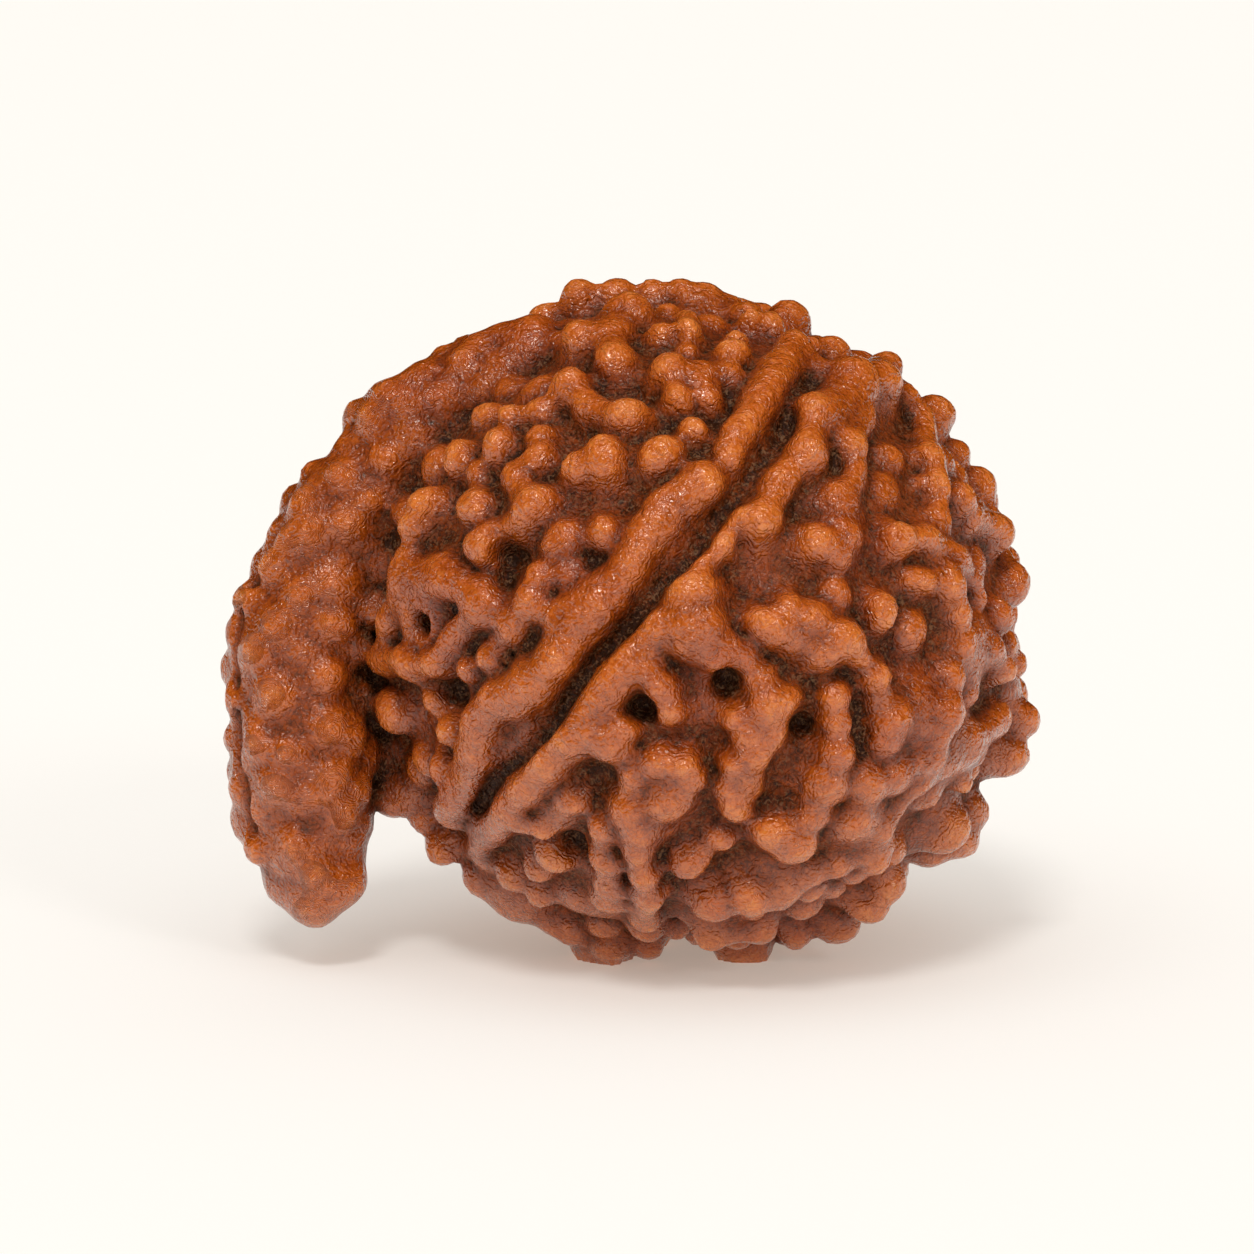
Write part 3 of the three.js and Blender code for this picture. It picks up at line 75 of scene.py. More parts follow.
# Each strand is a row of (x, y, radius) or (x, y, radius, top), joined one to the next.
strands = {
    "upperLip": [
        [[3.0, 8.05, 0.62], [2.6, 7.4, 0.6], [2.1, 6.5, 0.58], [1.45, 5.6, 0.55], [1.15, 4.9, 0.48]],
        [[3.0, 8.05, 0.58], [3.65, 7.45, 0.5]],
        [[0.4, 4.05, 0.64], [-0.6, 3.35, 0.66], [-1.25, 2.45, 0.62], [-1.75, 1.6, 0.64], [-2.35, 0.9, 0.7],
         [-3.05, -0.05, 0.7], [-3.85, -0.95, 0.72], [-4.55, -1.65, 0.74], [-5.15, -2.2, 0.72]],
        [[-2.8, 0.85, 0.5], [-3.85, 0.1, 0.5]],
        [[-5.65, -2.4, 0.6], [-6.15, -3.05, 0.6], [-6.35, -3.85, 0.64], [-6.85, -4.95, 0.62],
         [-7.0, -5.6, 0.62]],
        [[-7.2, -3.3, 0.42]],
        [[-7.35, -4.25, 0.5]],
    ],
    "lowerLip": [
        [[-0.9, -0.2, 0.6], [-1.7, -0.9, 0.66], [-2.35, -1.75, 0.68], [-2.95, -2.65, 0.7],
         [-3.45, -3.45, 0.7], [-4.2, -4.1, 0.66], [-4.95, -4.75, 0.66], [-5.45, -5.55, 0.62],
         [-6.05, -6.25, 0.55], [-6.35, -6.65, 0.48]],
        [[-2.35, -3.6, 0.65]],
        [[-5.0, -5.85, 0.5], [-4.3, -6.05, 0.42]],
        [[-1.3, -1.3, 0.5, 0.95], [-0.9, -1.9, 0.45, 0.9], [-0.65, -2.6, 0.4, 0.8]],
        [[-3.0, -3.2, 0.5, 1.1], [-1.9, -3.1, 0.4, 0.9]],
    ],
    "crown": [
        [[-3.2, 8.3, 0.66], [-2.35, 8.45, 0.6], [-1.84, 9.05, 0.72]],
        [[-2.35, 8.45, 0.6], [-2.2, 7.75, 0.6]],
        [[-3.6, 7.0, 0.6], [-2.9, 6.4, 0.55], [-1.85, 6.1, 0.62]],
        [[-0.6, 7.45, 0.65], [0.35, 7.2, 0.58]],
        [[-0.6, 7.3, 0.5], [-0.5, 6.6, 0.48]],
        [[0.3, 7.1, 0.45], [0.5, 6.7, 0.45]],
        [[1.3, 7.85, 0.52], [1.25, 7.35, 0.4]],
        [[0, 8.95, 0.42], [0, 8.55, 0.42]],
        [[1.35, 8.5, 0.3]],
        [[-1.2, 9.75, 0.32], [-0.3, 9.75, 0.32]],
        [[0.6, 9.45, 0.36], [1.3, 9.3, 0.34]],
        [[-2.77, 9.45, 0.4]],
        [[-3.52, 9.25, 0.34]],
        [[-4.15, 9.15, 0.4]],
        [[0.02, 5.65, 0.48]],
        [[-0.82, 4.85, 0.58]],
        [[4.3, 8.0, 0.54], [3.6, 8.1, 0.42]],
        [[1.75, 9.0, 0.35]],
    ],
    "crownRim": [
        [[-3.3, 9.65, 0.56]],
        [[-2.25, 9.7, 0.52]],
        [[-1.2, 9.68, 0.5]],
        [[-0.2, 9.68, 0.52]],
        [[0.55, 9.55, 0.5]],
        [[-4.4, 9.05, 0.52]],
        [[7.4, 6.3, 0.6]],
        [[6.5, 6.6, 0.45]],
        [[7.9, 5.0, 0.5]],
        [[9.3, 0.2, 0.5]],
        [[8.3, 1.4, 0.45], [8.6, 0.9, 0.35]],
        [[9.3, -0.55, 0.4]],
        [[8.7, 1.3, 0.3]],
        [[7.95, -6.45, 0.7]],
        [[7.2, -6.85, 0.62]],
        [[8.35, -5.5, 0.6]],
        [[6.0, -7.4, 0.6]],
    ],
    "upperField": [
        [[-7.75, 3.5, 0.6], [-7.95, 2.8, 0.6]],
        [[-6.4, 3.47, 0.68]],
        [[-4.45, 4.85, 0.4], [-5.15, 4.4, 0.45], [-4.65, 3.45, 0.68]],
        [[-2.49, 4.75, 0.7], [-3.3, 4.5, 0.5]],
        [[-6.16, 2.15, 0.6]],
        [[-5.9, 2.7, 0.35, 0.8], [-5.2, 3.0, 0.35, 0.8]],
        [[-2.6, 2.61, 0.5]],
        [[-3.8, 2.35, 0.57], [-3.53, 1.5, 0.5]],
        [[-4.4, 1.4, 0.4, 0.9], [-4.7, 0.6, 0.5, 1.0]],
        [[-5.6, 5.2, 0.5, 0.85]],
        [[-5.2, 6.1, 0.42, 0.8]],
        [[-4.4, 6.3, 0.46, 0.8]],
        [[-6.9, 4.75, 0.5, 0.9]],
        [[-6.3, 4.4, 0.4, 0.7]],
    ],
    "leftField": [
        [[-8.4, 1.35, 0.6], [-7.2, 1.3, 0.6], [-6.1, 0.5, 0.62], [-5.3, -0.1, 0.52], [-5.85, -1.05, 0.45]],
        [[-8.4, 1.35, 0.5], [-8.9, 0.1, 0.5], [-9.1, -1.0, 0.5], [-8.2, -1.2, 0.58], [-7.5, -1.15, 0.5],
         [-7.0, -0.5, 0.46], [-6.2, 0.4, 0.5]],
        [[-9.2, -2.7, 0.5], [-8.63, -2.6, 0.72]],
        [[-8.73, -3.7, 0.55]],
        [[-8.3, -4.85, 0.45]],
        [[-8.95, -5.3, 0.55]],
        [[-7.9, -5.8, 0.5]],
        [[-8.4, 1.9, 0.3, 0.9], [-8.6, 0.8, 0.4]],
        [[-9.3, 1.6, 0.5], [-9.5, 0.5, 0.55], [-9.6, -0.4, 0.5]],
        [[-9.7, -1.3, 0.55], [-9.75, -2.2, 0.6], [-9.6, -3.2, 0.6], [-9.5, -4.2, 0.55], [-9.35, -5.0, 0.45]],
    ],
    "rightOfSeam": [
        [[5.84, 7.55, 0.55], [5.5, 7.1, 0.7], [4.7, 6.9, 0.85], [3.85, 6.05, 0.78], [3.37, 4.95, 0.62],
         [2.67, 4.2, 0.55], [2.12, 2.95, 0.62]],
        [[4.77, 6.96, 0.6], [4.95, 6.1, 0.55], [4.77, 5.23, 0.6], [4.95, 4.5, 0.42], [4.42, 3.65, 0.5],
         [4.45, 2.7, 0.58], [3.8, 2.25, 0.58]],
        [[4.45, 2.7, 0.5], [4.3, 1.95, 0.5]],
        [[1.55, 3.15, 0.36, 0.9], [0.9, 2.35, 0.36, 0.9], [0.2, 1.75, 0.36, 0.9]],
        [[6.3, 6.6, 0.5], [6.8, 6.0, 0.5], [7.1, 4.9, 0.54], [7.3, 3.95, 0.46], [7.35, 3.1, 0.4, 0.9]],
        [[8.0, 3.6, 0.56]],
        [[8.4, 3.0, 0.42], [8.98, 2.65, 0.66]],
        [[6.1, 2.5, 0.58], [7.0, 2.3, 0.5, 1.0], [7.8, 1.95, 0.48], [8.3, 1.4, 0.38], [8.5, 0.8, 0.34]],
        [[7.6, 1.0, 0.62]],
        [[7.0, 1.1, 0.4, 0.9], [6.6, 1.3, 0.35, 0.7]],
        [[9.08, 0.2, 0.56]],
        [[7.95, 0.2, 0.45, 0.95], [8.05, -0.6, 0.45, 0.95]],
        [[5.65, 0.35, 0.56]],
    ],
    "centre": [
        [[0.1, 0.75, 0.72], [0.2, -0.35, 0.84]],
        [[0.2, -0.4, 0.7], [1.0, -0.9, 0.5], [1.6, -1.1, 0.46], [2.15, -1.7, 0.5], [2.4, -2.5, 0.7],
         [2.35, -3.2, 0.56], [1.95, -3.65, 0.45]],
        [[0.2, -0.6, 0.5], [0.7, -1.2, 0.35, 1.0], [1.2, -1.05, 0.4]],
        [[3.0, -2.3, 0.4]],
        [[-0.3, -0.4, 0.55], [-0.9, -0.25, 0.5]],
        [[2.05, 0.05, 0.5], [2.95, 0.42, 0.54], [3.6, 0.15, 0.5], [4.55, -0.5, 0.6], [4.85, -0.95, 0.45]],
        [[2.55, -0.25, 0.56], [3.0, -0.5, 0.46]],
        [[4.4, -0.6, 0.5], [3.9, -1.0, 0.44]],
        [[1.3, -2.8, 0.36, 0.8], [1.65, -3.2, 0.36, 0.8]],
        [[1.35, -4.2, 0.4, 0.95], [1.1, -5.1, 0.36, 0.85]],
        [[2.0, -3.9, 0.4, 0.95], [1.75, -4.8, 0.42, 0.9], [1.35, -5.6, 0.4, 0.85]],
        [[-0.9, -4.2, 0.6], [-0.3, -4.35, 0.58], [0, -4.75, 0.5]],
        [[-1.65, -4.6, 0.5], [-1.65, -5.4, 0.66], [-1.45, -5.95, 0.62]],
        [[-0.55, -5.25, 0.74]],
    ],
    "rightField": [
        [[4.3, -2.25, 0.48], [4.35, -3.0, 0.46], [4.35, -3.9, 0.55], [3.95, -4.8, 0.68], [3.5, -5.6, 0.66],
         [3.1, -6.5, 0.6, 1.1]],
        [[5.4, -1.6, 0.5], [5.5, -2.2, 0.45], [5.95, -2.9, 0.6], [5.85, -3.4, 0.55]],
        [[7.7, -1.6, 0.5], [7.5, -2.6, 0.66], [7.25, -3.2, 0.5]],
        [[8.9, -0.9, 0.5], [9.25, -1.4, 0.46]],
        [[8.3, -3.4, 0.45], [9.05, -2.95, 0.56]],
        [[5.1, -4.6, 0.85, 1.05], [5.9, -4.3, 0.8, 1.05], [6.9, -3.9, 0.6, 1.05]],
        [[4.7, -5.7, 0.85, 1.05]],
        [[2.45, -6.1, 0.62]],
    ],
    "lobeEdge": [
        [[8.25, -3.75, 0.42], [7.5, -4.3, 0.45], [6.7, -4.8, 0.46], [6.1, -5.35, 0.46], [5.6, -6.1, 0.48],
         [5.1, -6.7, 0.5], [4.3, -7.2, 0.5], [3.6, -7.4, 0.46], [2.9, -7.7, 0.46]],
        [[5.75, -6.55, 0.42], [5.45, -7.0, 0.56], [4.8, -7.4, 0.5]],
        [[5.2, -8.2, 0.74], [5.85, -7.6, 0.55]],
        [[7.55, -6.15, 0.85]],
        [[9.45, -4.0, 0.64], [9.1, -3.8, 0.5]],
        [[9.8, -2.85, 0.58]],
        [[9.55, -1.2, 0.46]],
        [[4.45, -9.1, 0.62]],
        [[3.2, -9.15, 0.58]],
        [[8.1, -4.7, 0.35, 0.8]],
    ],
    "foot": [
        [[-5.3, -7.45, 0.6], [-5.95, -6.9, 0.5]],
        [[-2.6, -6.1, 0.46], [-2.5, -7.0, 0.5], [-2.4, -7.7, 0.55], [-2.4, -8.1, 0.6]],
        [[-1.55, -6.6, 0.5, 1.0], [-1.4, -7.4, 0.5, 1.0], [-1.3, -8.0, 0.5, 1.05], [-1.4, -8.7, 0.5]],
        [[0, -7.0, 0.6, 0.85]],
        [[0.8, -8.3, 0.7], [1.8, -8.1, 0.68]],
        [[2.65, -8.0, 0.5]],
        [[0.6, -9.15, 0.6], [2.1, -9.05, 0.56]],
        [[1.4, -9.4, 0.5]],
        [[-2.6, -8.95, 0.5]],
        [[-4.05, -8.75, 0.58], [-3.5, -8.95, 0.62]],
        [[-2.4, -9.6, 0.58]],
        [[-1.3, -9.4, 0.6]],
        [[-5.15, -8.25, 0.62]],
        [[-6.1, -7.6, 0.66]],
        [[-7.3, -6.7, 0.6]],
        [[-4.5, -7.2, 0.5, 0.75]],
        [[-4.4, -8.0, 0.5, 0.95]],
    ],
}
behindOutline = ["crownRim"]    # these stand on the far side of the body and show over its edge

# Where the ground itself is raised, as (x, y, radius, top): broad swells under the ropes.
swells = [
    [5.4, -2.4, 2.2, 0.72], [4.2, -4.9, 2.2, 0.8], [6.9, -3.4, 1.6, 0.75], [7.0, -0.8, 2.0, 0.72],
    [8.6, -2.0, 1.2, 0.7], [6.3, 1.4, 1.7, 0.62], [7.7, 3.0, 1.2, 0.6], [2.4, -6.6, 1.6, 0.65],
    [3.9, 2.9, 1.3, 0.6], [4.6, 6.3, 1.2, 0.7], [3.2, -0.6, 1.3, 0.55], [-7.1, 0.4, 1.6, 0.75],
    [-8.3, -2.3, 1.2, 0.5], [-4.6, 2.9, 1.2, 0.5], [-1.3, -5.1, 1.4, 0.7], [-3.6, -5.0, 1.1, 0.5],
    [-2.6, -7.2, 1.6, 0.6], [0.8, -7.6, 1.6, 0.5], [-2.5, 7.7, 1.5, 0.6], [0.3, 8.3, 1.5, 0.5],
    [-4.9, -7.6, 1.4, 0.6],
]

# Pits as (x, y, radius), and the straight seam's groove, seen in the same way.
pits = [
    [-5.13, 1.85, 0.5], [-5.35, 1.3, 0.35], [-6.95, -2.15, 0.5], [-1.4, -2.4, 0.4], [1.05, -1.85, 0.42],
    [-3.4, -6.6, 0.44], [3.3, -3.12, 0.34], [-7.65, 0.11, 0.34], [-0.23, -8.8, 0.36],
]
seam = [
    [2.95, 6.0], [2.25, 4.9], [1.37, 3.75], [0.4, 2.75], [-0.3, 1.75], [-1.05, 0.65], [-1.8, -0.05],
    [-2.6, -1.0], [-3.35, -1.95], [-4.1, -3.0], [-4.95, -3.95], [-5.75, -4.8], [-6.35, -5.6],
]
seamWidth = 0.44
seamTop = 1.0    # the slot between the lips is kept open up to this height over the valley floor
seamBed = {"height": 0.3, "radius": 0.9}    # the low bed that the groove is cut into
pitDepth = {"from": -0.4, "to": 1.1}    # heights over the valley floor between which a pit is cut

# The horn: its middle line as (x, y, towards the eye, radius), from the crown to the free tip.
horn = [
    [-4.6, 8.1, 2.2, 0.9], [-6.6, 6.75, 1.9, 1.3], [-8.4, 5.1, 1.6, 1.65], [-9.9, 3.15, 1.4, 1.85],
    [-11.05, 0.9, 1.2, 2.0], [-11.5, -1.5, 1.2, 2.1], [-11.6, -4.0, 1.1, 2.05],
    [-11.5, -6.0, 1.0, 1.7], [-11.1, -7.4, 0.9, 1.3],
]
# Low lumps on the horn's front as (x, y, radius), and how far they stand out of it.
hornLumps = [
    [-4.8, 7.7, 0.78], [-5.6, 7.4, 0.55], [-6.1, 6.9, 0.52], [-6.7, 7.6, 0.59], [-7.35, 6.45, 0.55],
    [-8.55, 6.5, 0.59], [-8.0, 5.35, 0.88], [-8.87, 4.83, 0.59], [-9.7, 5.9, 0.72], [-10.15, 4.1, 0.59],
    [-9.4, 3.6, 0.49], [-10.05, 2.85, 0.65], [-11.1, 3.3, 0.65], [-11.6, 2.3, 0.59], [-10.5, 1.3, 0.91],
    [-12.3, 1.6, 0.52], [-12.85, 0.6, 0.65], [-11.9, -0.1, 0.78], [-12.6, -0.9, 0.59], [-12.1, -2.0, 0.78],
    [-10.8, -1.6, 0.65], [-10.8, -3.1, 0.65], [-12.0, -4.9, 0.78], [-12.6, -3.6, 0.59], [-10.9, -5.0, 0.59],
    [-11.6, -6.5, 0.59], [-11.05, -7.25, 0.62], [-10.5, -7.65, 0.91], [-11.2, -8.02, 1.01],
    [-11.9, -7.6, 0.91],
]
hornRelief = 0.42
# A fine furrow down the horn's outer side, as (x, y).
hornFurrow = [[-12.1, 2.6], [-13.05, 0.6], [-13.35, -1.2], [-13.3, -4.4], [-12.9, -6.1]]
hornFurrowWidth = 0.24
# More lumps all round the horn: each stands relief out of it, turn degrees on from the last.
hornFill = {"steps": 150, "turn": 137.5, "radius": (0.5, 0.85), "relief": (0.1, 0.5), "clear": -0.1}

# The ground between the ropes is filled with smaller, lower lumps, wherever there is room.
filler = {"count": 2600, "radius": (0.4, 0.68), "top": (0.3, 0.72), "clear": 0.5, "apart": 0.9,
          "seamRoom": 0.6}

# What the front doesn't show is grown by rule, with a seeded draw.
hidden = {
    "seed": 5417,
    "count": 400,             # points tried over the whole body
    "facing": 0.12,           # points that face the eye less than this are hidden
    "jitter": 0.4,            # how far a point strays
    "radius": (0.46, 0.74),
    "clear": 0.75,            # least gap to the lumps that are given above
    "linkReach": 2.3,         # warts nearer than this to each other may be linked by a ridge
    "linkChance": 0.5,
    "linkSize": 0.78,
    "linkSink": 0.12,
    "pitChance": 0.08,
    "pitRadius": 0.45,
    "seams": (132, 204, 276),    # turns round the axis, from the front's seam
    "seamClear": 1.75,        # least gap from a wart to a seam
    "lipOffset": 0.95,        # from a seam's groove to its lip
    "lipWander": (-0.12, 0.2),
    "lipRadius": (0.5, 0.64),
    "lipStep": 1.15,
    "lipChance": 0.9,
    "lipFacing": -0.2,
}
weight = (1.2, 0.05)    # where the stone's weight falls on the floor
# The feet stand in a ring round that place, and the floor cuts each by cut.
feet = {"ring": 2.4, "radius": 1.0, "cut": 0.34, "count": 3, "turn": 90}


def unit(v):    # each vector over its own length
    return v / np.linalg.norm(v, axis=-1, keepdims=True)


# The eye's own directions, and the stone's: its axis, across it to the lower right, and to the eye.
tilt = eye["tilt"] * degree
seenRight = np.array([1.0, 0.0, 0.0])
seenUp = np.array([0.0, math.sin(tilt), math.cos(tilt)])
toEye = np.array([0.0, -math.cos(tilt), math.sin(tilt)])
lean = stone["axisLean"] * degree
axis = seenRight * math.cos(lean) + seenUp * math.sin(lean)
across = unit(-np.cross(axis, toEye))
bodyAxes = np.array([axis, across, toEye])
bodyRadii = np.array([stone["polarRadius"], stone["equatorRadius"], stone["equatorRadius"]])
middle = np.array(stone["middle"])
eyePoint = middle + toEye * eye["distance"] + seenRight * eye["x"] + seenUp * eye["y"]

drawState = hidden["seed"]
drawFactor = 16807
drawPrime = 2147483647


def draw(low, high):    # the last draw times the factor, modulo the prime, brought into the range
    global drawState
    drawState = (drawState * drawFactor) % drawPrime
    return low + (high - low) * drawState / drawPrime


def seenPoint(x, y, forward=0.0):    # x right, y up and forward to the eye from the middle
    return middle + seenRight * x + seenUp * y + toEye * forward


def topOf(radius, top=None):    # a given top, or else wartBase + wartRise * radius
    return stone["wartBase"] + stone["wartRise"] * radius if top is None else top


def onBody(x, y, height, behind=False):    # where the sight line meets the valley floor, raised by height
    sight = unit(seenPoint(x, y) - eyePoint)
    o = bodyAxes @ (eyePoint - middle) / (bodyRadii + height)
    d = bodyAxes @ sight / (bodyRadii + height)
    root = max(float(o @ d) ** 2 - float(d @ d) * (float(o @ o) - 1), 0.0)
    reach = (-float(o @ d) + (1 if behind else -1) * math.sqrt(root)) / float(d @ d)
    return eyePoint + sight * reach


def outward(p):    # the ellipsoid's outward direction
    return unit(bodyAxes.T @ (bodyAxes @ (p - middle) / bodyRadii ** 2))


def above(direction, height):    # the point at a height over the valley floor, in a direction
    way = unit(direction)
    return middle + way / np.linalg.norm(bodyAxes @ way / (bodyRadii + height))


def cutAt(point, radius, depth):    # a cut straight into the body
    out = outward(point)
    return plain([(point + out * (depth["from"] + radius), radius), (point + out * depth["to"], radius)])


def beaded(row, neck):    # the row with more beads where it is long, and a neck between each two
    knots = [[x, y, radius, topOf(radius, *top)] for x, y, radius, *top in row]
    made = [knots[0]]
    for a, b in zip(knots, knots[1:]):
        count = max(1, round(math.hypot(b[0] - a[0], b[1] - a[1]) / beads["step"]))
        for i in range(2 * count):
            share = (i + 1) / (2 * count)
            x, y, radius, top = [a[k] + (b[k] - a[k]) * share for k in range(4)]
            if i % 2 == 0:
                made.append([x, y, radius * neck, top - beads["sink"] * (1 - neck) / (1 - beads["neck"])])
            else:
                made.append([x, y, radius * draw(*beads["size"]), top + draw(*beads["rise"])])
    return made


def rooted(crests):    # segments along a row of crests, and one down to each crest's root
    segments = [(a, ra, b, rb) for (a, ra), (b, rb) in zip(crests, crests[1:])]
    for at, radius in crests:
        out = outward(at)
        height = (at - middle) @ out - (above(at - middle, 0) - middle) @ out
        root = at - out * (height + lump["rootDepth"])
        segments.append((at, radius, root, radius * lump["root"] / lump["tip"]))
    return segments


def plain(knots):    # segments along a row of knots alone
    if len(knots) == 1:
        return [knots[0] + knots[0]]
    return [(a, ra, b, rb) for (a, ra), (b, rb) in zip(knots, knots[1:])]


def seenStrand(row, behind, neck):    # a rope of lumps whose tops lie where they are seen
    crests = []
    for x, y, radius, top in beaded(row, neck):
        tip = radius * lump["tip"]
        crests.append((onBody(x, y, top - tip, behind), tip))
    return rooted(crests)


def wartAt(direction, radius, top):    # a single lump's crest
    tip = radius * lump["tip"]
    return above(direction, top - tip), tip


hornSamples = 200     # points tried along the horn for the one nearest to a sight line
hornSegments = 32     # round cones that the horn is drawn with
hornPoints = np.array([seenPoint(x, y, forward) for x, y, forward, radius in horn])
hornRadii = np.array([row[3] for row in horn])


def hornCurvePoint(share):    # Catmull-Rom through the horn's points, with centripetal spacing
    last = len(horn) - 1
    k = min(int(share * last), last - 1)
    t = share * last - k
    p = [hornPoints[k - 1] if k > 0 else 2 * hornPoints[0] - hornPoints[1], hornPoints[k], hornPoints[k + 1],
         hornPoints[k + 2] if k + 2 <= last else 2 * hornPoints[last] - hornPoints[last - 1]]
    d = [max(math.sqrt(np.linalg.norm(p[i + 1] - p[i])), 1e-4) for i in range(3)]
    t1 = ((p[1] - p[0]) / d[0] - (p[2] - p[0]) / (d[0] + d[1]) + (p[2] - p[1]) / d[1]) * d[1]
    t2 = ((p[2] - p[1]) / d[1] - (p[3] - p[1]) / (d[1] + d[2]) + (p[3] - p[2]) / d[2]) * d[1]
    c2 = -3 * p[1] + 3 * p[2] - 2 * t1 - t2
    c3 = 2 * p[1] - 2 * p[2] + t1 + t2
    return p[1] + t1 * t + c2 * t ** 2 + c3 * t ** 3


def hornAt(share):    # the middle line's point and the radius at a share of the horn
    last = len(horn) - 1
    return hornCurvePoint(share), float(np.interp(share * last, np.arange(last + 1), hornRadii))


def onHorn(x, y, sink):    # the place on the horn's near side seen at (x, y), sunk by sink
    samples = [hornAt(i / hornSamples) for i in range(hornSamples + 1)]
    seen = [(math.hypot((p - middle) @ seenRight - x, (p - middle) @ seenUp - y), radius,
             (p - middle) @ toEye) for p, radius in samples]
    gap, radius, forward = min(seen, key=lambda row: row[0])
    return seenPoint(x, y, forward + math.sqrt(max((radius - sink) ** 2 - gap ** 2, 0.0)))


def turned(v, about, angle):    # v turned about an axis, by Rodrigues' formula
    about = unit(about)
    return (v * math.cos(angle) + np.cross(about, v) * math.sin(angle)
            + about * (about @ v) * (1 - math.cos(angle)))


def hornStrands(given):    # low lumps all round the horn, a golden angle apart
    made = []
    for i in range(2, hornFill["steps"]):
        share = i / hornFill["steps"]
        at, radius = hornAt(share)
        along = unit(hornCurvePoint(min(share + 1e-4, 1)) - hornCurvePoint(share - 1e-4))
        out = unit(turned(toEye - along * (toEye @ along), along, i * hornFill["turn"] * degree))
        size = draw(*hornFill["radius"])
        centre = at + out * (radius - size + draw(*hornFill["relief"]))
        if clearOf(centre, given, hornFill["clear"]):
            made.append(plain([(centre, size)]))
    return made


def strandDistance(strand, p):    # distance to the nearest of a strand's round cones, negative inside
    nearest = np.full(p.shape[:-1], np.inf)
    for a, ra, b, rb in strand:
        run = b - a
        share = np.clip((p - a) @ run / max(run @ run, 1e-12), 0, 1)
        gap = np.linalg.norm(p - a - share[..., None] * run, axis=-1)
        nearest = np.minimum(nearest, gap - (ra + (rb - ra) * share))
    return nearest


def clearOf(p, strandList, gap):    # whether p is further than gap from every strand
    return all(strandDistance(strand, p) > gap for strand in strandList)


def isHidden(p, limit=hidden["facing"]):    # whether the way from the middle to p turns from the eye
    return unit(p - middle) @ toEye < limit


def goldenDirection(i, count):    # point i of count that are spread evenly over a ball of radius 1
    level = 1 - 2 * (i + 0.5) / count
    ring = math.sqrt(1 - level * level)
    turn = i * goldenTurn
    return np.array([math.cos(turn) * ring, math.sin(turn) * ring, level])


def roundAxis(angle, turn):    # a direction by its angle from the axis and its turn round it
    return axis * math.cos(angle) + math.sin(angle) * (toEye * math.cos(turn) + across * math.sin(turn))


def hiddenSeams(given):    # two lips and a groove for each seam that the front doesn't show
    lips, grooves, middles = [], [], []
    steps = round(math.pi * stone["equatorRadius"] / hidden["lipStep"])
    for turn in hidden["seams"]:
        for side in (-1, 1):
            previous = None
            for i in range(2, steps - 1):
                angle = math.pi * i / steps
                shift = side * (hidden["lipOffset"] + draw(*hidden["lipWander"]))
                shift /= stone["equatorRadius"] * math.sin(angle)
                radius = draw(*hidden["lipRadius"])
                crest = wartAt(roundAxis(angle, turn * degree + shift), radius, topOf(radius))
                at = crest[0]
                kept = draw(0, 1) < hidden["lipChance"] and isHidden(at, hidden["lipFacing"])
                kept = kept and clearOf(at, given, hidden["clear"])
                if kept:
                    lips.append(rooted([previous, crest] if previous else [crest]))
                previous = crest if kept else None
                centre = above(roundAxis(angle, turn * degree), 0)
                if side > 0 and isHidden(centre, hidden["lipFacing"]):
                    grooves.append(centre)
                    middles.append(plain([(centre, 0)]))
    return lips, grooves, middles


def hiddenWarts(given, seamMiddles):    # warts on a golden-angle lattice, some linked, some left as pits
    warts, holes, links = [], [], []
    jitter = hidden["jitter"]
    for i in range(hidden["count"]):
        stray = np.array([draw(-jitter, jitter) for side in range(3)])
        direction = goldenDirection(i, hidden["count"]) * stone["equatorRadius"] + stray
        radius = draw(*hidden["radius"])
        asPit = draw(0, 1) < hidden["pitChance"]
        crest = wartAt(direction, radius, topOf(radius))
        at = crest[0]
        if not isHidden(at) or not clearOf(at, given, hidden["clear"]):
            continue
        if not clearOf(at, seamMiddles, hidden["seamClear"]):
            continue
        if asPit:
            holes.append(above(direction, 0))
        else:
            warts.append(crest)
    for i, wart in enumerate(warts):
        for other in warts[i + 1:]:
            if np.linalg.norm(wart[0] - other[0]) > hidden["linkReach"] or draw(0, 1) > hidden["linkChance"]:
                continue
            links.append(rooted([(at - outward(at) * hidden["linkSink"], radius * hidden["linkSize"])
                                 for at, radius in (wart, other)]))
    return [rooted([wart]) for wart in warts] + links, holes


def fillers(given):    # candidates are taken from the largest down, where they clear what is there
    crests = []
    for i in range(filler["count"]):
        radius = draw(*filler["radius"])
        crests.append(wartAt(goldenDirection(i, filler["count"]), radius, draw(*filler["top"])))
    at = np.array([place for place, radius in crests])
    sizes = np.array([radius for place, radius in crests])
    room = np.min([strandDistance(strand, at) for strand in given], axis=0) - sizes * filler["clear"]
    kept = []
    for i in np.argsort(-sizes, kind="stable"):
        gaps = np.linalg.norm(at[kept] - at[i], axis=1) - (sizes[kept] + sizes[i]) * filler["apart"]
        if room[i] > 0 and (gaps > 0).all():
            kept.append(i)
    return [rooted([crests[i]]) for i in kept]


def footStrands():    # the feet stand in a ring round the weight, sunk into the floor by the cut
    made = []
    for i in range(feet["count"]):
        turn = (feet["turn"] + 360 * i / feet["count"]) * degree
        at = np.array([math.cos(turn) * feet["ring"] + weight[0], math.sin(turn) * feet["ring"] + weight[1],
                       feet["radius"] - feet["cut"]])
        made.append(plain([(at, feet["radius"])]))
    return made


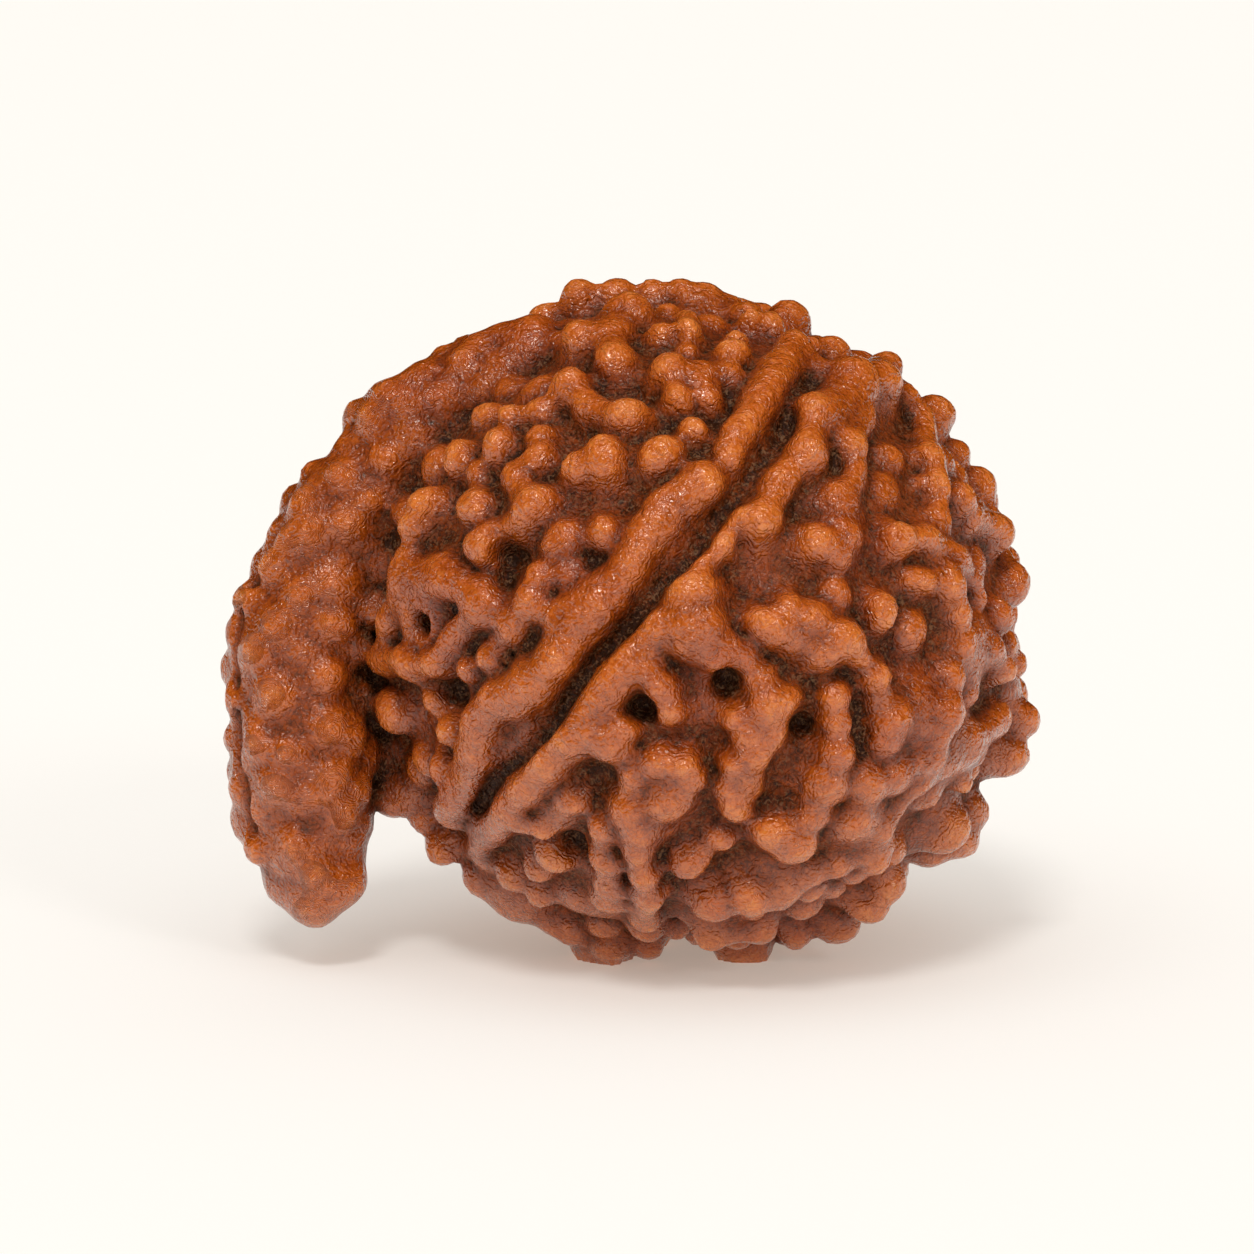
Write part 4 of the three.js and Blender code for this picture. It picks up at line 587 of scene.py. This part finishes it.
def allStrands():    # every lump, every cut, and the horn's bare middle line
    seen = [seenStrand(row, name in behindOutline, ropes.get(name, beads["neck"]))
            for name, rows in strands.items() for row in rows]
    footing = footStrands()
    hornCurve = plain([hornAt(i / hornSegments) for i in range(hornSegments + 1)])
    given = seen + footing + [hornCurve]
    lips, grooves, middles = hiddenSeams(given)
    warts, holes = hiddenWarts(given, middles)
    hornFront = [plain([(onHorn(x, y, radius - hornRelief), radius)]) for x, y, radius in hornLumps]
    hornRound = hornStrands(hornFront)
    seamPoints = [onBody(x, y, seamBed["height"]) for x, y in seam]
    bed = plain([(onBody(x, y, seamBed["height"] - seamBed["radius"]), seamBed["radius"]) for x, y in seam])
    furrow = [onHorn(x, y, 0) for x, y in hornFurrow]
    cuts = [cutAt(onBody(x, y, 0), radius, pitDepth) for x, y, radius in pits]
    cuts += [cutAt(point, hidden["pitRadius"], pitDepth) for point in holes]
    for height in np.arange(seamBed["height"], seamTop, seamWidth):
        cuts.append(plain([(onBody(x, y, height), seamWidth / 2) for x, y in seam]))
    cuts += [plain([(p, seamWidth / 2)]) for p in grooves]
    cuts += [plain([(p, hornFurrowWidth / 2) for p in furrow])]
    raised = given + hornFront + hornRound + lips + warts
    seamRoom = plain([(p, filler["seamRoom"]) for p in seamPoints])
    ground = fillers(raised + cuts + [seamRoom])
    print("strands", len(seen), "seen", len(lips + warts), "hidden", len(ground), "fillers")
    raised += [bed] + [plain([(onBody(x, y, top - radius), radius)]) for x, y, radius, top in swells]
    return raised + ground, cuts, hornCurve


# The lattice that the skin is drawn on; the floor runs through the middle of one layer of cells.
floorLayer = 1
facet = stone["facet"]
latticeSize = (28.6, 25.2, 22.6)
latticeLow = np.array([-14.0, -12.5, -(floorLayer + 0.5) * facet])
latticeSteps = [math.ceil(length / facet) for length in latticeSize]
blendReach = 7       # a lump is left out where it is further away than this many blends
wanderReach = 0.3    # the most that the waves shift a point
farAway = 3.0        # the distance to a cut wherever there is none near
emptied = 0.5        # the value of a lattice node that is emptied
fillTo = -0.03       # the value of a lattice node that is filled


def latticePoints(window):    # the place of every node in a window of the lattice
    lines = [latticeLow[a] + facet * np.arange(window[a].start, window[a].stop) for a in range(3)]
    return np.stack(np.meshgrid(*lines, indexing="ij"), axis=-1)


def strandWindow(strand, reach):    # the lattice nodes within reach of a strand
    low = np.min([np.minimum(a - ra, b - rb) for a, ra, b, rb in strand], axis=0) - reach
    high = np.max([np.maximum(a + ra, b + rb) for a, ra, b, rb in strand], axis=0) + reach
    first = np.clip(np.floor((low - latticeLow) / facet).astype(int), 0, latticeSteps)
    last = np.clip(np.ceil((high - latticeLow) / facet).astype(int) + 1, 0, latticeSteps)
    return tuple(slice(int(a), int(b)) for a, b in zip(first, last))


def drawWaves():    # each wave's direction of shift, wave vector and phase
    made = []
    for i in range(wander["waves"]):
        length = draw(*wander["length"])
        way = unit(np.array([draw(-1, 1) for side in range(3)]))
        run = unit(np.array([draw(-1, 1) for side in range(3)])) * 2 * math.pi / length
        made.append((way * wander["shift"] * length, run, draw(0, 2 * math.pi)))
    return made


waves = drawWaves()


def wandered(p):    # p shifted by every wave: its way times the sine of p's run along it
    shifted = p.copy()
    for way, run, phase in waves:
        shifted += np.sin(p @ run + phase)[..., None] * way
    return shifted


def bodyDistance(p):    # distance to the valley floor's ellipsoid, by its usual estimate
    v = (p - middle) @ bodyAxes.T / bodyRadii
    first = np.linalg.norm(v, axis=-1)
    second = np.linalg.norm(v / bodyRadii, axis=-1)
    return first * (first - 1) / np.maximum(second, 1e-9)


def stoneField(raised, cuts):    # zero on the skin: a soft union of lumps (minus blend times the log of
    # the sum of exp(-distance / blend)), less the cuts in the same soft way, above the floor
    whole = tuple(slice(0, n) for n in latticeSteps)
    straight = latticePoints(whole)
    points = wandered(straight)
    bodyGap = bodyDistance(points)
    total = np.exp(-bodyGap / stone["blend"])
    cut = np.full(total.shape, farAway)
    for strand in raised:
        window = strandWindow(strand, blendReach * stone["blend"] + wanderReach)
        total[window] += np.exp(-strandDistance(strand, points[window]) / stone["blend"])
    for strand in cuts:
        window = strandWindow(strand, blendReach * stone["cutBlend"] + wanderReach)
        cut[window] = np.minimum(cut[window], strandDistance(strand, points[window]))
    lumps = -stone["blend"] * np.log(total)
    soft = stone["cutBlend"]
    carved = soft * np.logaddexp(lumps / soft, -cut / soft)
    return np.maximum(carved, -straight[..., 2]), bodyGap


def corner(value, c):    # the lattice seen from each cell's corner c, whose bits are steps along x, y, z
    steps = [(c >> a) & 1 for a in range(3)]
    return value[tuple(slice(s, value.shape[a] - 1 + s) for a, s in enumerate(steps))]


def fillPinches(value):    # fills the emptiest bridge wherever solid nodes meet only at an edge or corner
    while True:
        solid = [corner(value, c) < 0 for c in range(8)]
        count = sum(s.astype(np.int8) for s in solid)
        marked = []
        for side in ((0, 1, 2, 3), (0, 1, 4, 5), (0, 2, 4, 6)):
            w, x, y, z = (solid[c] for c in side)
            marked.append((side, (w == z) & (x == y) & (w != x)))
        for c in range(4):
            alike = solid[c] == solid[7 - c]
            lone = alike & (count == np.where(solid[c], 2, 6))
            marked.append((tuple(range(8)), lone))
        if not any(found.any() for side, found in marked):
            return
        for side, found in marked:
            cells = np.argwhere(found)
            if not len(cells):
                continue
            nodes = np.stack([cells + [(c >> a) & 1 for a in range(3)] for c in side], axis=1)
            values = value[nodes[..., 0], nodes[..., 1], nodes[..., 2]]
            least = np.argmin(np.where(values >= 0, values, np.inf), axis=1)
            chosen = nodes[np.arange(len(cells)), least]
            stillEmpty = value[tuple(chosen.T)] >= 0
            value[tuple(chosen[stillEmpty].T)] = fillTo


def flood(start, passable):    # every node joined to start through passable ones, swept axis by axis
    reached = np.zeros(passable.shape, bool)
    reached[start] = True
    before = -1
    while reached.sum() != before:
        before = reached.sum()
        for a in range(3):
            view, free = np.moveaxis(reached, a, 0), np.moveaxis(passable, a, 0)
            for i in range(1, len(view)):
                view[i] |= view[i - 1] & free[i]
            for i in range(len(view) - 2, -1, -1):
                view[i] |= view[i + 1] & free[i]
    return reached


def keepOneBody(value):    # drops loose scraps and fills sealed hollows
    start = tuple(np.round((middle - latticeLow) / facet).astype(int))
    body = flood(start, value < 0)
    value[(value < 0) & ~body] = emptied
    outside = flood((0, 0, 0), value >= 0)
    value[(value >= 0) & ~outside] = fillTo


def drawSkin(value):    # a vertex in each crossed cell, at the mean of its crossings, and a quad at each
    inside = value < 0
    cells = tuple(n - 1 for n in value.shape)
    total = np.zeros(cells + (3,))
    crossings = np.zeros(cells)
    for c in range(8):
        bits = [(c >> a) & 1 for a in range(3)]
        here = corner(value, c)
        for a in range(3):
            if bits[a]:
                continue
            there = corner(value, c | (1 << a))
            crossed = (here < 0) != (there < 0)
            share = np.where(crossed, here / np.where(crossed, here - there, 1), 0)
            for b in range(3):
                total[..., b] += np.where(crossed, share if a == b else bits[b], 0)
            crossings += crossed
    used = crossings > 0
    number = np.full(cells, -1, int)
    number[used] = np.arange(used.sum())
    place = np.argwhere(used) + total[used] / crossings[used][:, None]
    vertices = latticeLow + facet * place
    vertices[np.argwhere(used)[:, 2] == floorLayer, 2] = 0
    quads = []
    for a in range(3):
        u, v = (a + 1) % 3, (a + 2) % 3
        one = np.moveaxis(inside, (a, u, v), (0, 1, 2))
        ids = np.moveaxis(number, (a, u, v), (0, 1, 2))
        low, high = one[:-1, 1:-1, 1:-1], one[1:, 1:-1, 1:-1]
        ring = np.stack([ids[:, 1:, 1:], ids[:, :-1, 1:], ids[:, :-1, :-1], ids[:, 1:, :-1]], axis=-1)
        quads.append(ring[low & ~high])
        quads.append(ring[~low & high][:, ::-1])
    return vertices, np.concatenate(quads)


def readLattice(values, p):    # trilinear reading of a lattice at points
    place = (p - latticeLow) / facet
    base = np.clip(np.floor(place).astype(int), 0, np.array(values.shape) - 2)
    t = place - base
    out = np.zeros(len(p))
    for c in range(8):
        bits = np.array([(c >> a) & 1 for a in range(3)])
        share = np.prod(np.where(bits, t, 1 - t), axis=1)
        out += share * values[tuple((base + bits).T)]
    return out


hollowReach = {"crease": 0.3, "hollow": 0.9}    # millimetres looked at round each point


def boxBlur(values, cells):    # mean over a cube of cells each way, one axis after another
    for a in range(3):
        moved = np.moveaxis(values, a, 0)
        padded = np.concatenate([moved[:1]] * (cells + 1) + [moved] + [moved[-1:]] * cells)
        summed = np.cumsum(padded, axis=0)
        moved = (summed[2 * cells + 1:] - summed[:-2 * cells - 1]) / (2 * cells + 1)
        values = np.moveaxis(moved, 0, a)
    return values


def addPiece(name, data):    # an object that shows a mesh, a lamp or a camera
    piece = bpy.data.objects.new(name, data)
    bpy.context.collection.objects.link(piece)
    return piece


def stoneMesh():    # the skin as one piece, with the measures that its material reads
    raised, cuts, hornCurve = allStrands()
    value, bodyGap = stoneField(raised, cuts)
    print("field", value.shape, len(raised), "lumps", len(cuts), "cuts")
    fillPinches(value)
    keepOneBody(value)
    fillPinches(value)
    vertices, quads = drawSkin(value)
    print("skin", len(vertices), "vertices", len(quads) * 2, "triangles")
    mesh = bpy.data.meshes.new("rudrakshaStone")
    mesh.from_pydata((vertices * millimetre).tolist(), [], quads.tolist())
    mesh.shade_smooth()
    looks = {"rise": readLattice(bodyGap, vertices), "hornGap": strandDistance(hornCurve, vertices)}
    solid = (value < 0).astype(float)
    for name, reach in hollowReach.items():    # share of stuff near by: half on flat ground, more in hollows; the material paints shade by it
        blurred = boxBlur(solid, max(1, round(reach / facet)))
        looks[name] = readLattice(boxBlur(blurred, 1), vertices)
    for name, values in looks.items():
        attribute = mesh.attributes.new(name, "FLOAT", "POINT")
        attribute.data.foreach_set("value", values.astype(np.float32))
    return addPiece("rudrakshaStone", mesh)


def linear(hexColour):    # an sRGB hex value as linear red, green, blue and alpha
    channels = [int(hexColour[i:i + 2], 16) / 255 for i in (1, 3, 5)]
    return [c / 12.92 if c <= 0.04045 else ((c + 0.055) / 1.055) ** 2.4 for c in channels] + [1.0]


def addNode(material, kind, settings=None, links=None):    # a node, its settings, and what feeds its inputs
    node = material.node_tree.nodes.new(kind)
    for name, value in (settings or {}).items():
        if name in node.inputs:
            node.inputs[name].default_value = value
        else:
            setattr(node, name, value)
    for name, source in (links or {}).items():
        material.node_tree.links.new(source, node.inputs[name])
    return node


def noise(material, place, size, detail=2.0, distortion=0.0):    # noise with features of a size in mm
    return addNode(material, "ShaderNodeTexNoise", {
        "Scale": 1 / (size * millimetre), "Detail": detail, "Distortion": distortion},
        {"Vector": place})


def ramp(material, source, stops):    # a colour ramp through (position, hex colour) stops
    node = addNode(material, "ShaderNodeValToRGB", {}, {"Fac": source})
    elements = node.color_ramp.elements
    while len(elements) < len(stops):
        elements.new(0.5)
    for element, (position, colour) in zip(elements, stops):
        element.position = position
        element.color = linear(colour)
    return node.outputs["Color"]


def maths(material, operation, *sources):    # a maths node fed by numbers or by other nodes
    node = material.node_tree.nodes.new("ShaderNodeMath")
    node.operation = operation
    for i, source in enumerate(sources):
        if isinstance(source, (int, float)):
            node.inputs[i].default_value = source
        else:
            material.node_tree.links.new(source, node.inputs[i])
    return node.outputs[0]


def mapRange(material, source, given, made):    # brings one range linearly into another, and clamps
    return addNode(material, "ShaderNodeMapRange", {
        "From Min": given[0], "From Max": given[1], "To Min": made[0], "To Max": made[1]},
        {"Value": source}).outputs["Result"]


def mix(material, blend, factor, first, second):    # first, blended with second by factor
    node = material.node_tree.nodes.new("ShaderNodeMix")
    node.data_type = "RGBA"
    node.blend_type = blend
    for socket, source in ((node.inputs[0], factor), (node.inputs[6], first), (node.inputs[7], second)):
        if isinstance(source, (int, float)):
            socket.default_value = source
        elif isinstance(source, str):
            socket.default_value = linear(source)
        else:
            material.node_tree.links.new(source, socket)
    return node.outputs[2]


def bump(material, height, distance, below=None):    # relief, distance mm high for a height of 1
    links = {"Height": height}
    if below:
        links["Normal"] = below
    return addNode(material, "ShaderNodeBump", {"Distance": distance * millimetre}, links).outputs["Normal"]


# The dried, polished shell of the seed, russet on its flanks, with grit in the crevices. The tones paint
# shade over the shell's own darker valleys: "depth" runs from 0 on the most open tips, painted light orange,
# to 1 deep in the crevices, painted dark; sizes and depths are in millimetres, and every "tone" is how far a
# marking shifts the place on the tones.
wood = {
    # painted shade: the tones go from light orange on the open tips to near black deep in the crevices
    "shadedTones": [(0.0, "#D87C34"), (0.25, "#BE5E1A"), (0.45, "#A44C0A"), (0.62, "#8A3A06"), (0.8, "#662A04"),
              (1.0, "#301402")],
    "crease": (0.28, 0.68),    # the share of stuff close by, from tip to crevice
    "hollow": (0.28, 0.74),    # the same within a wider reach
    "mottle": 0.5,
    "mottleTone": 0.12,
    "patch": 3.2,              # redder patches
    "patchSpan": (0.45, 0.7),
    "redPatch": "#B4581C",
    "redStrength": 0.6,
    "redShare": 0.5,
    "grit": 0.15,              # dried pulp that is left in the crevices
    "gritSpan": (0.52, 0.64),
    "gritColour": "#8C6648",
    "gritDepth": (0.6, 0.85),
    "gritShare": 0.5,
    "lineStep": 0.2,           # the shell's fine growth lines, coarser than the real 0.07 so that they show
    "lineDepth": 0.011,
    "lineTone": 0.04,
    "lineStir": 32.0,          # how far the lines stray, in radians
    "lineStirSize": 0.42,
    "hornEdge": (0.3, 0.6),    # the gap to the horn's middle shape over which its lines give way
    "wrinkle": 0.5,            # soft wrinkles, with painted shade in their troughs and painted light on their crests
    "wrinkleDepth": 0.15,
    "wrinkleTroughShade": 0.1,
    "crinkle": 0.24,           # short sharp creases between them, painted darker along their lines as shade
    "crinkleWidth": 0.06,
    "crinkleDepth": 0.055,
    "crinkleShade": 0.18,
}
noiseSpan = (0.3, 0.7)    # nearly all of a noise's values lie in here


# Waxed, tumbled wood: 1.5 is the usual index of wood and of wax. Worn tips are smooth under a thin coat of
# wax, which gives small wet glints; crevices are rough and dull, so they stay dark. A little light goes
# under the surface and warms the edges of the shadows.
finish = {
    "IOR": 1.5,
    "Subsurface Weight": 0.12,
    "Subsurface Radius": (1.0, 0.35, 0.15),
    "Subsurface Scale": 0.3 * millimetre,
    "Coat Roughness": 0.12,
}
finishByDepth = {    # (depths, values at them)
    "Roughness": [(0.35, 0.8), (0.2, 0.5)],
    "Specular IOR Level": [(0.45, 0.85), (0.5, 0.15)],
    "Coat Weight": [(0.4, 0.75), (0.8, 0.0)],
}


def growthLines(material, place, attribute):    # the sine of the height over the ground, or on the horn
    # over its bare shape, plus a noise that stirs it
    stir = noise(material, place, wood["lineStirSize"]).outputs["Fac"]
    onHorn = mapRange(material, attribute["hornGap"], wood["hornEdge"], (1.0, 0.0))
    offHorn = maths(material, "SUBTRACT", 1.0, onHorn)
    height = maths(material, "ADD", maths(material, "MULTIPLY", attribute["hornGap"], onHorn),
                   maths(material, "MULTIPLY", attribute["rise"], offHorn))
    phase = maths(material, "ADD", maths(material, "MULTIPLY", height, 2 * math.pi / wood["lineStep"]),
                  maths(material, "MULTIPLY", stir, wood["lineStir"]))
    return maths(material, "SINE", phase)


def seedColourAndShade(material, place, depth, wrinkle, creases, lines):    # the tone at the depth, which paints shade in the crevices and light on the open tips, shifted by the markings, which paint shade in wrinkle troughs and creases, then redder in patches and grey-brown where there is grit
    # markings, then redder in patches and grey-brown where there is grit
    mottle = noise(material, place, wood["mottle"], 4.0).outputs["Fac"]
    patch = noise(material, place, wood["patch"]).outputs["Fac"]
    grit = noise(material, place, wood["grit"], 3.0, 1.5).outputs["Fac"]
    shifts = [
        mapRange(material, mottle, noiseSpan, (-wood["mottleTone"], wood["mottleTone"])),
        # painted shade in the wrinkles' troughs, painted light on their crests
        mapRange(material, wrinkle, noiseSpan, (wood["wrinkleTroughShade"], -wood["wrinkleTroughShade"])),
        # painted shade along the creases
        mapRange(material, creases, (0.0, wood["crinkleWidth"]), (wood["crinkleShade"], 0.0)),
        maths(material, "MULTIPLY", lines, wood["lineTone"]),
    ]
    tone = depth
    for shift in shifts:
        tone = maths(material, "ADD", tone, shift)
    colour = ramp(material, tone, wood["shadedTones"])
    redder = mix(material, "MULTIPLY", wood["redStrength"], colour, wood["redPatch"])
    redness = mapRange(material, patch, wood["patchSpan"], (0.0, wood["redShare"]))
    colour = mix(material, "MIX", redness, colour, redder)
    gritty = maths(material, "MULTIPLY", mapRange(material, grit, wood["gritSpan"], (0.0, 1.0)),
                   mapRange(material, depth, wood["gritDepth"], (0.0, wood["gritShare"])))
    return mix(material, "MIX", gritty, colour, wood["gritColour"])


def seedWood():    # depth is the mean of the two shares; the relief is three bumps, one over another
    material = bpy.data.materials.new("seedWood")
    material.use_nodes = True
    material.node_tree.nodes.clear()
    place = addNode(material, "ShaderNodeTexCoord").outputs["Object"]
    attribute = {name: addNode(material, "ShaderNodeAttribute", {"attribute_name": name}).outputs["Fac"]
                 for name in ("rise", "crease", "hollow", "hornGap")}
    near, wide = (
        maths(material, "MULTIPLY", mapRange(material, attribute[name], wood[name], (0.0, 1.0)), 0.5)
        for name in ("crease", "hollow"))
    # depth, the share of stuff near by, sets the painted shade in the crevices and the painted light on the
    # open tips, and the finish
    depth = maths(material, "ADD", near, wide)
    wrinkle = noise(material, place, wood["wrinkle"], 2.5, 0.8).outputs["Fac"]
    crinkle = noise(material, place, wood["crinkle"], 1.5, 1.2).outputs["Fac"]
    creases = maths(material, "ABSOLUTE", maths(material, "SUBTRACT", crinkle, 0.5))
    lines = growthLines(material, place, attribute)
    colour = seedColourAndShade(material, place, depth, wrinkle, creases, lines)
    normal = bump(material, wrinkle, wood["wrinkleDepth"])
    normal = bump(material, creases, wood["crinkleDepth"], normal)
    normal = bump(material, lines, wood["lineDepth"], normal)
    links = {"Base Color": colour, "Normal": normal, "Coat Normal": normal}
    for name, (depths, values) in finishByDepth.items():
        links[name] = mapRange(material, depth, depths, values)
    surface = addNode(material, "ShaderNodeBsdfPrincipled", finish, links)
    addNode(material, "ShaderNodeOutputMaterial", {}, {"Surface": surface.outputs[0]})
    return material


# A sheet of matt white paper, lit from below too, so that it stays nearly white and its shadows are warm.
paper = {
    "reach": 1.2,    # metres to each side
    "Base Color": "#D3DCE3",
    "Roughness": 0.9,
    "Emission Color": "#FFECDA",
    "Emission Strength": 0.32,
}


def floorPiece():    # one flat sheet, which isn't part of the stone
    mesh = bpy.data.meshes.new("floor")
    reach = paper["reach"]
    corners = [(x * reach, y * reach, 0) for x, y in ((-1, -1), (1, -1), (1, 1), (-1, 1))]
    mesh.from_pydata(corners, [], [(0, 1, 2, 3)])
    piece = addPiece("floor", mesh)
    material = bpy.data.materials.new("paperSweep")
    material.use_nodes = True
    sockets = material.node_tree.nodes["Principled BSDF"].inputs
    for name in ("Base Color", "Emission Color"):
        sockets[name].default_value = linear(paper[name])
    for name in ("Roughness", "Emission Strength"):
        sockets[name].default_value = paper[name]
    mesh.materials.append(material)


def aim(piece, target):    # turns a lamp or the camera so that it looks at the target
    piece.rotation_euler = (Vector(target) - piece.location).to_track_quat("-Z", "Y").to_euler()


# The light reaches everywhere alike, so that the paper keeps one shade: a white room that is brighter
# overhead, one broad lamp for soft shadows, and two small ones for the glints. Each lamp is (where it
# comes from, strength, degrees across, colour).
lamps = {
    "overhead": [(-0.1, -0.35, 1.0), 0.6, 60, "#FFFDFA"],
    "key": [(-0.12, -0.75, 1.0), 1.08, 13, "#FFF4E8"],
    "front": [(0.7, -1.0, 0.7), 0.44, 14, "#FFF4E8"],
}
room = {"level": 0.42, "overhead": 0.68, "colour": "#FFF8EE"}


def studio():    # the lamps, and the room, whose strength grows with the height looked at
    for name, (place, strength, across, colour) in lamps.items():
        data = bpy.data.lights.new(name, "SUN")
        data.energy = strength
        data.angle = across * degree
        data.color = linear(colour)[:3]
        lamp = addPiece(name, data)
        lamp.location = place
        aim(lamp, (0, 0, 0))
    world = bpy.context.scene.world or bpy.data.worlds.new("world")
    bpy.context.scene.world = world
    world.use_nodes = True
    background = world.node_tree.nodes["Background"]
    background.inputs["Color"].default_value = linear(room["colour"])
    way = addNode(world, "ShaderNodeTexCoord").outputs["Generated"]
    height = addNode(world, "ShaderNodeSeparateXYZ", {}, {"Vector": way}).outputs["Z"]
    strength = mapRange(world, height, (0.0, 1.0), (room["level"], room["overhead"]))
    world.node_tree.links.new(strength, background.inputs["Strength"])
    world.cycles_visibility.glossy = False    # black flags keep the room itself out of the gloss


film = {"width": 36, "nearest": 0.01}    # the film's width in millimetres, and the nearest metre seen


def camera():    # the lens is the film's width times distance over the width seen
    data = bpy.data.cameras.new("camera")
    data.sensor_width = film["width"]
    data.lens = film["width"] * eye["distance"] / eye["width"]
    data.clip_start = film["nearest"]
    piece = addPiece("camera", data)
    piece.location = eyePoint * millimetre
    aim(piece, (eyePoint - toEye) * millimetre)
    bpy.context.scene.camera = piece


skin = stoneMesh()
print("materials and light")
skin.data.materials.append(seedWood())
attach(skin, "root")
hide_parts("rudraksha_stone")
floorPiece()
studio()
camera()
bpy.context.scene.view_settings.view_transform = "Standard"
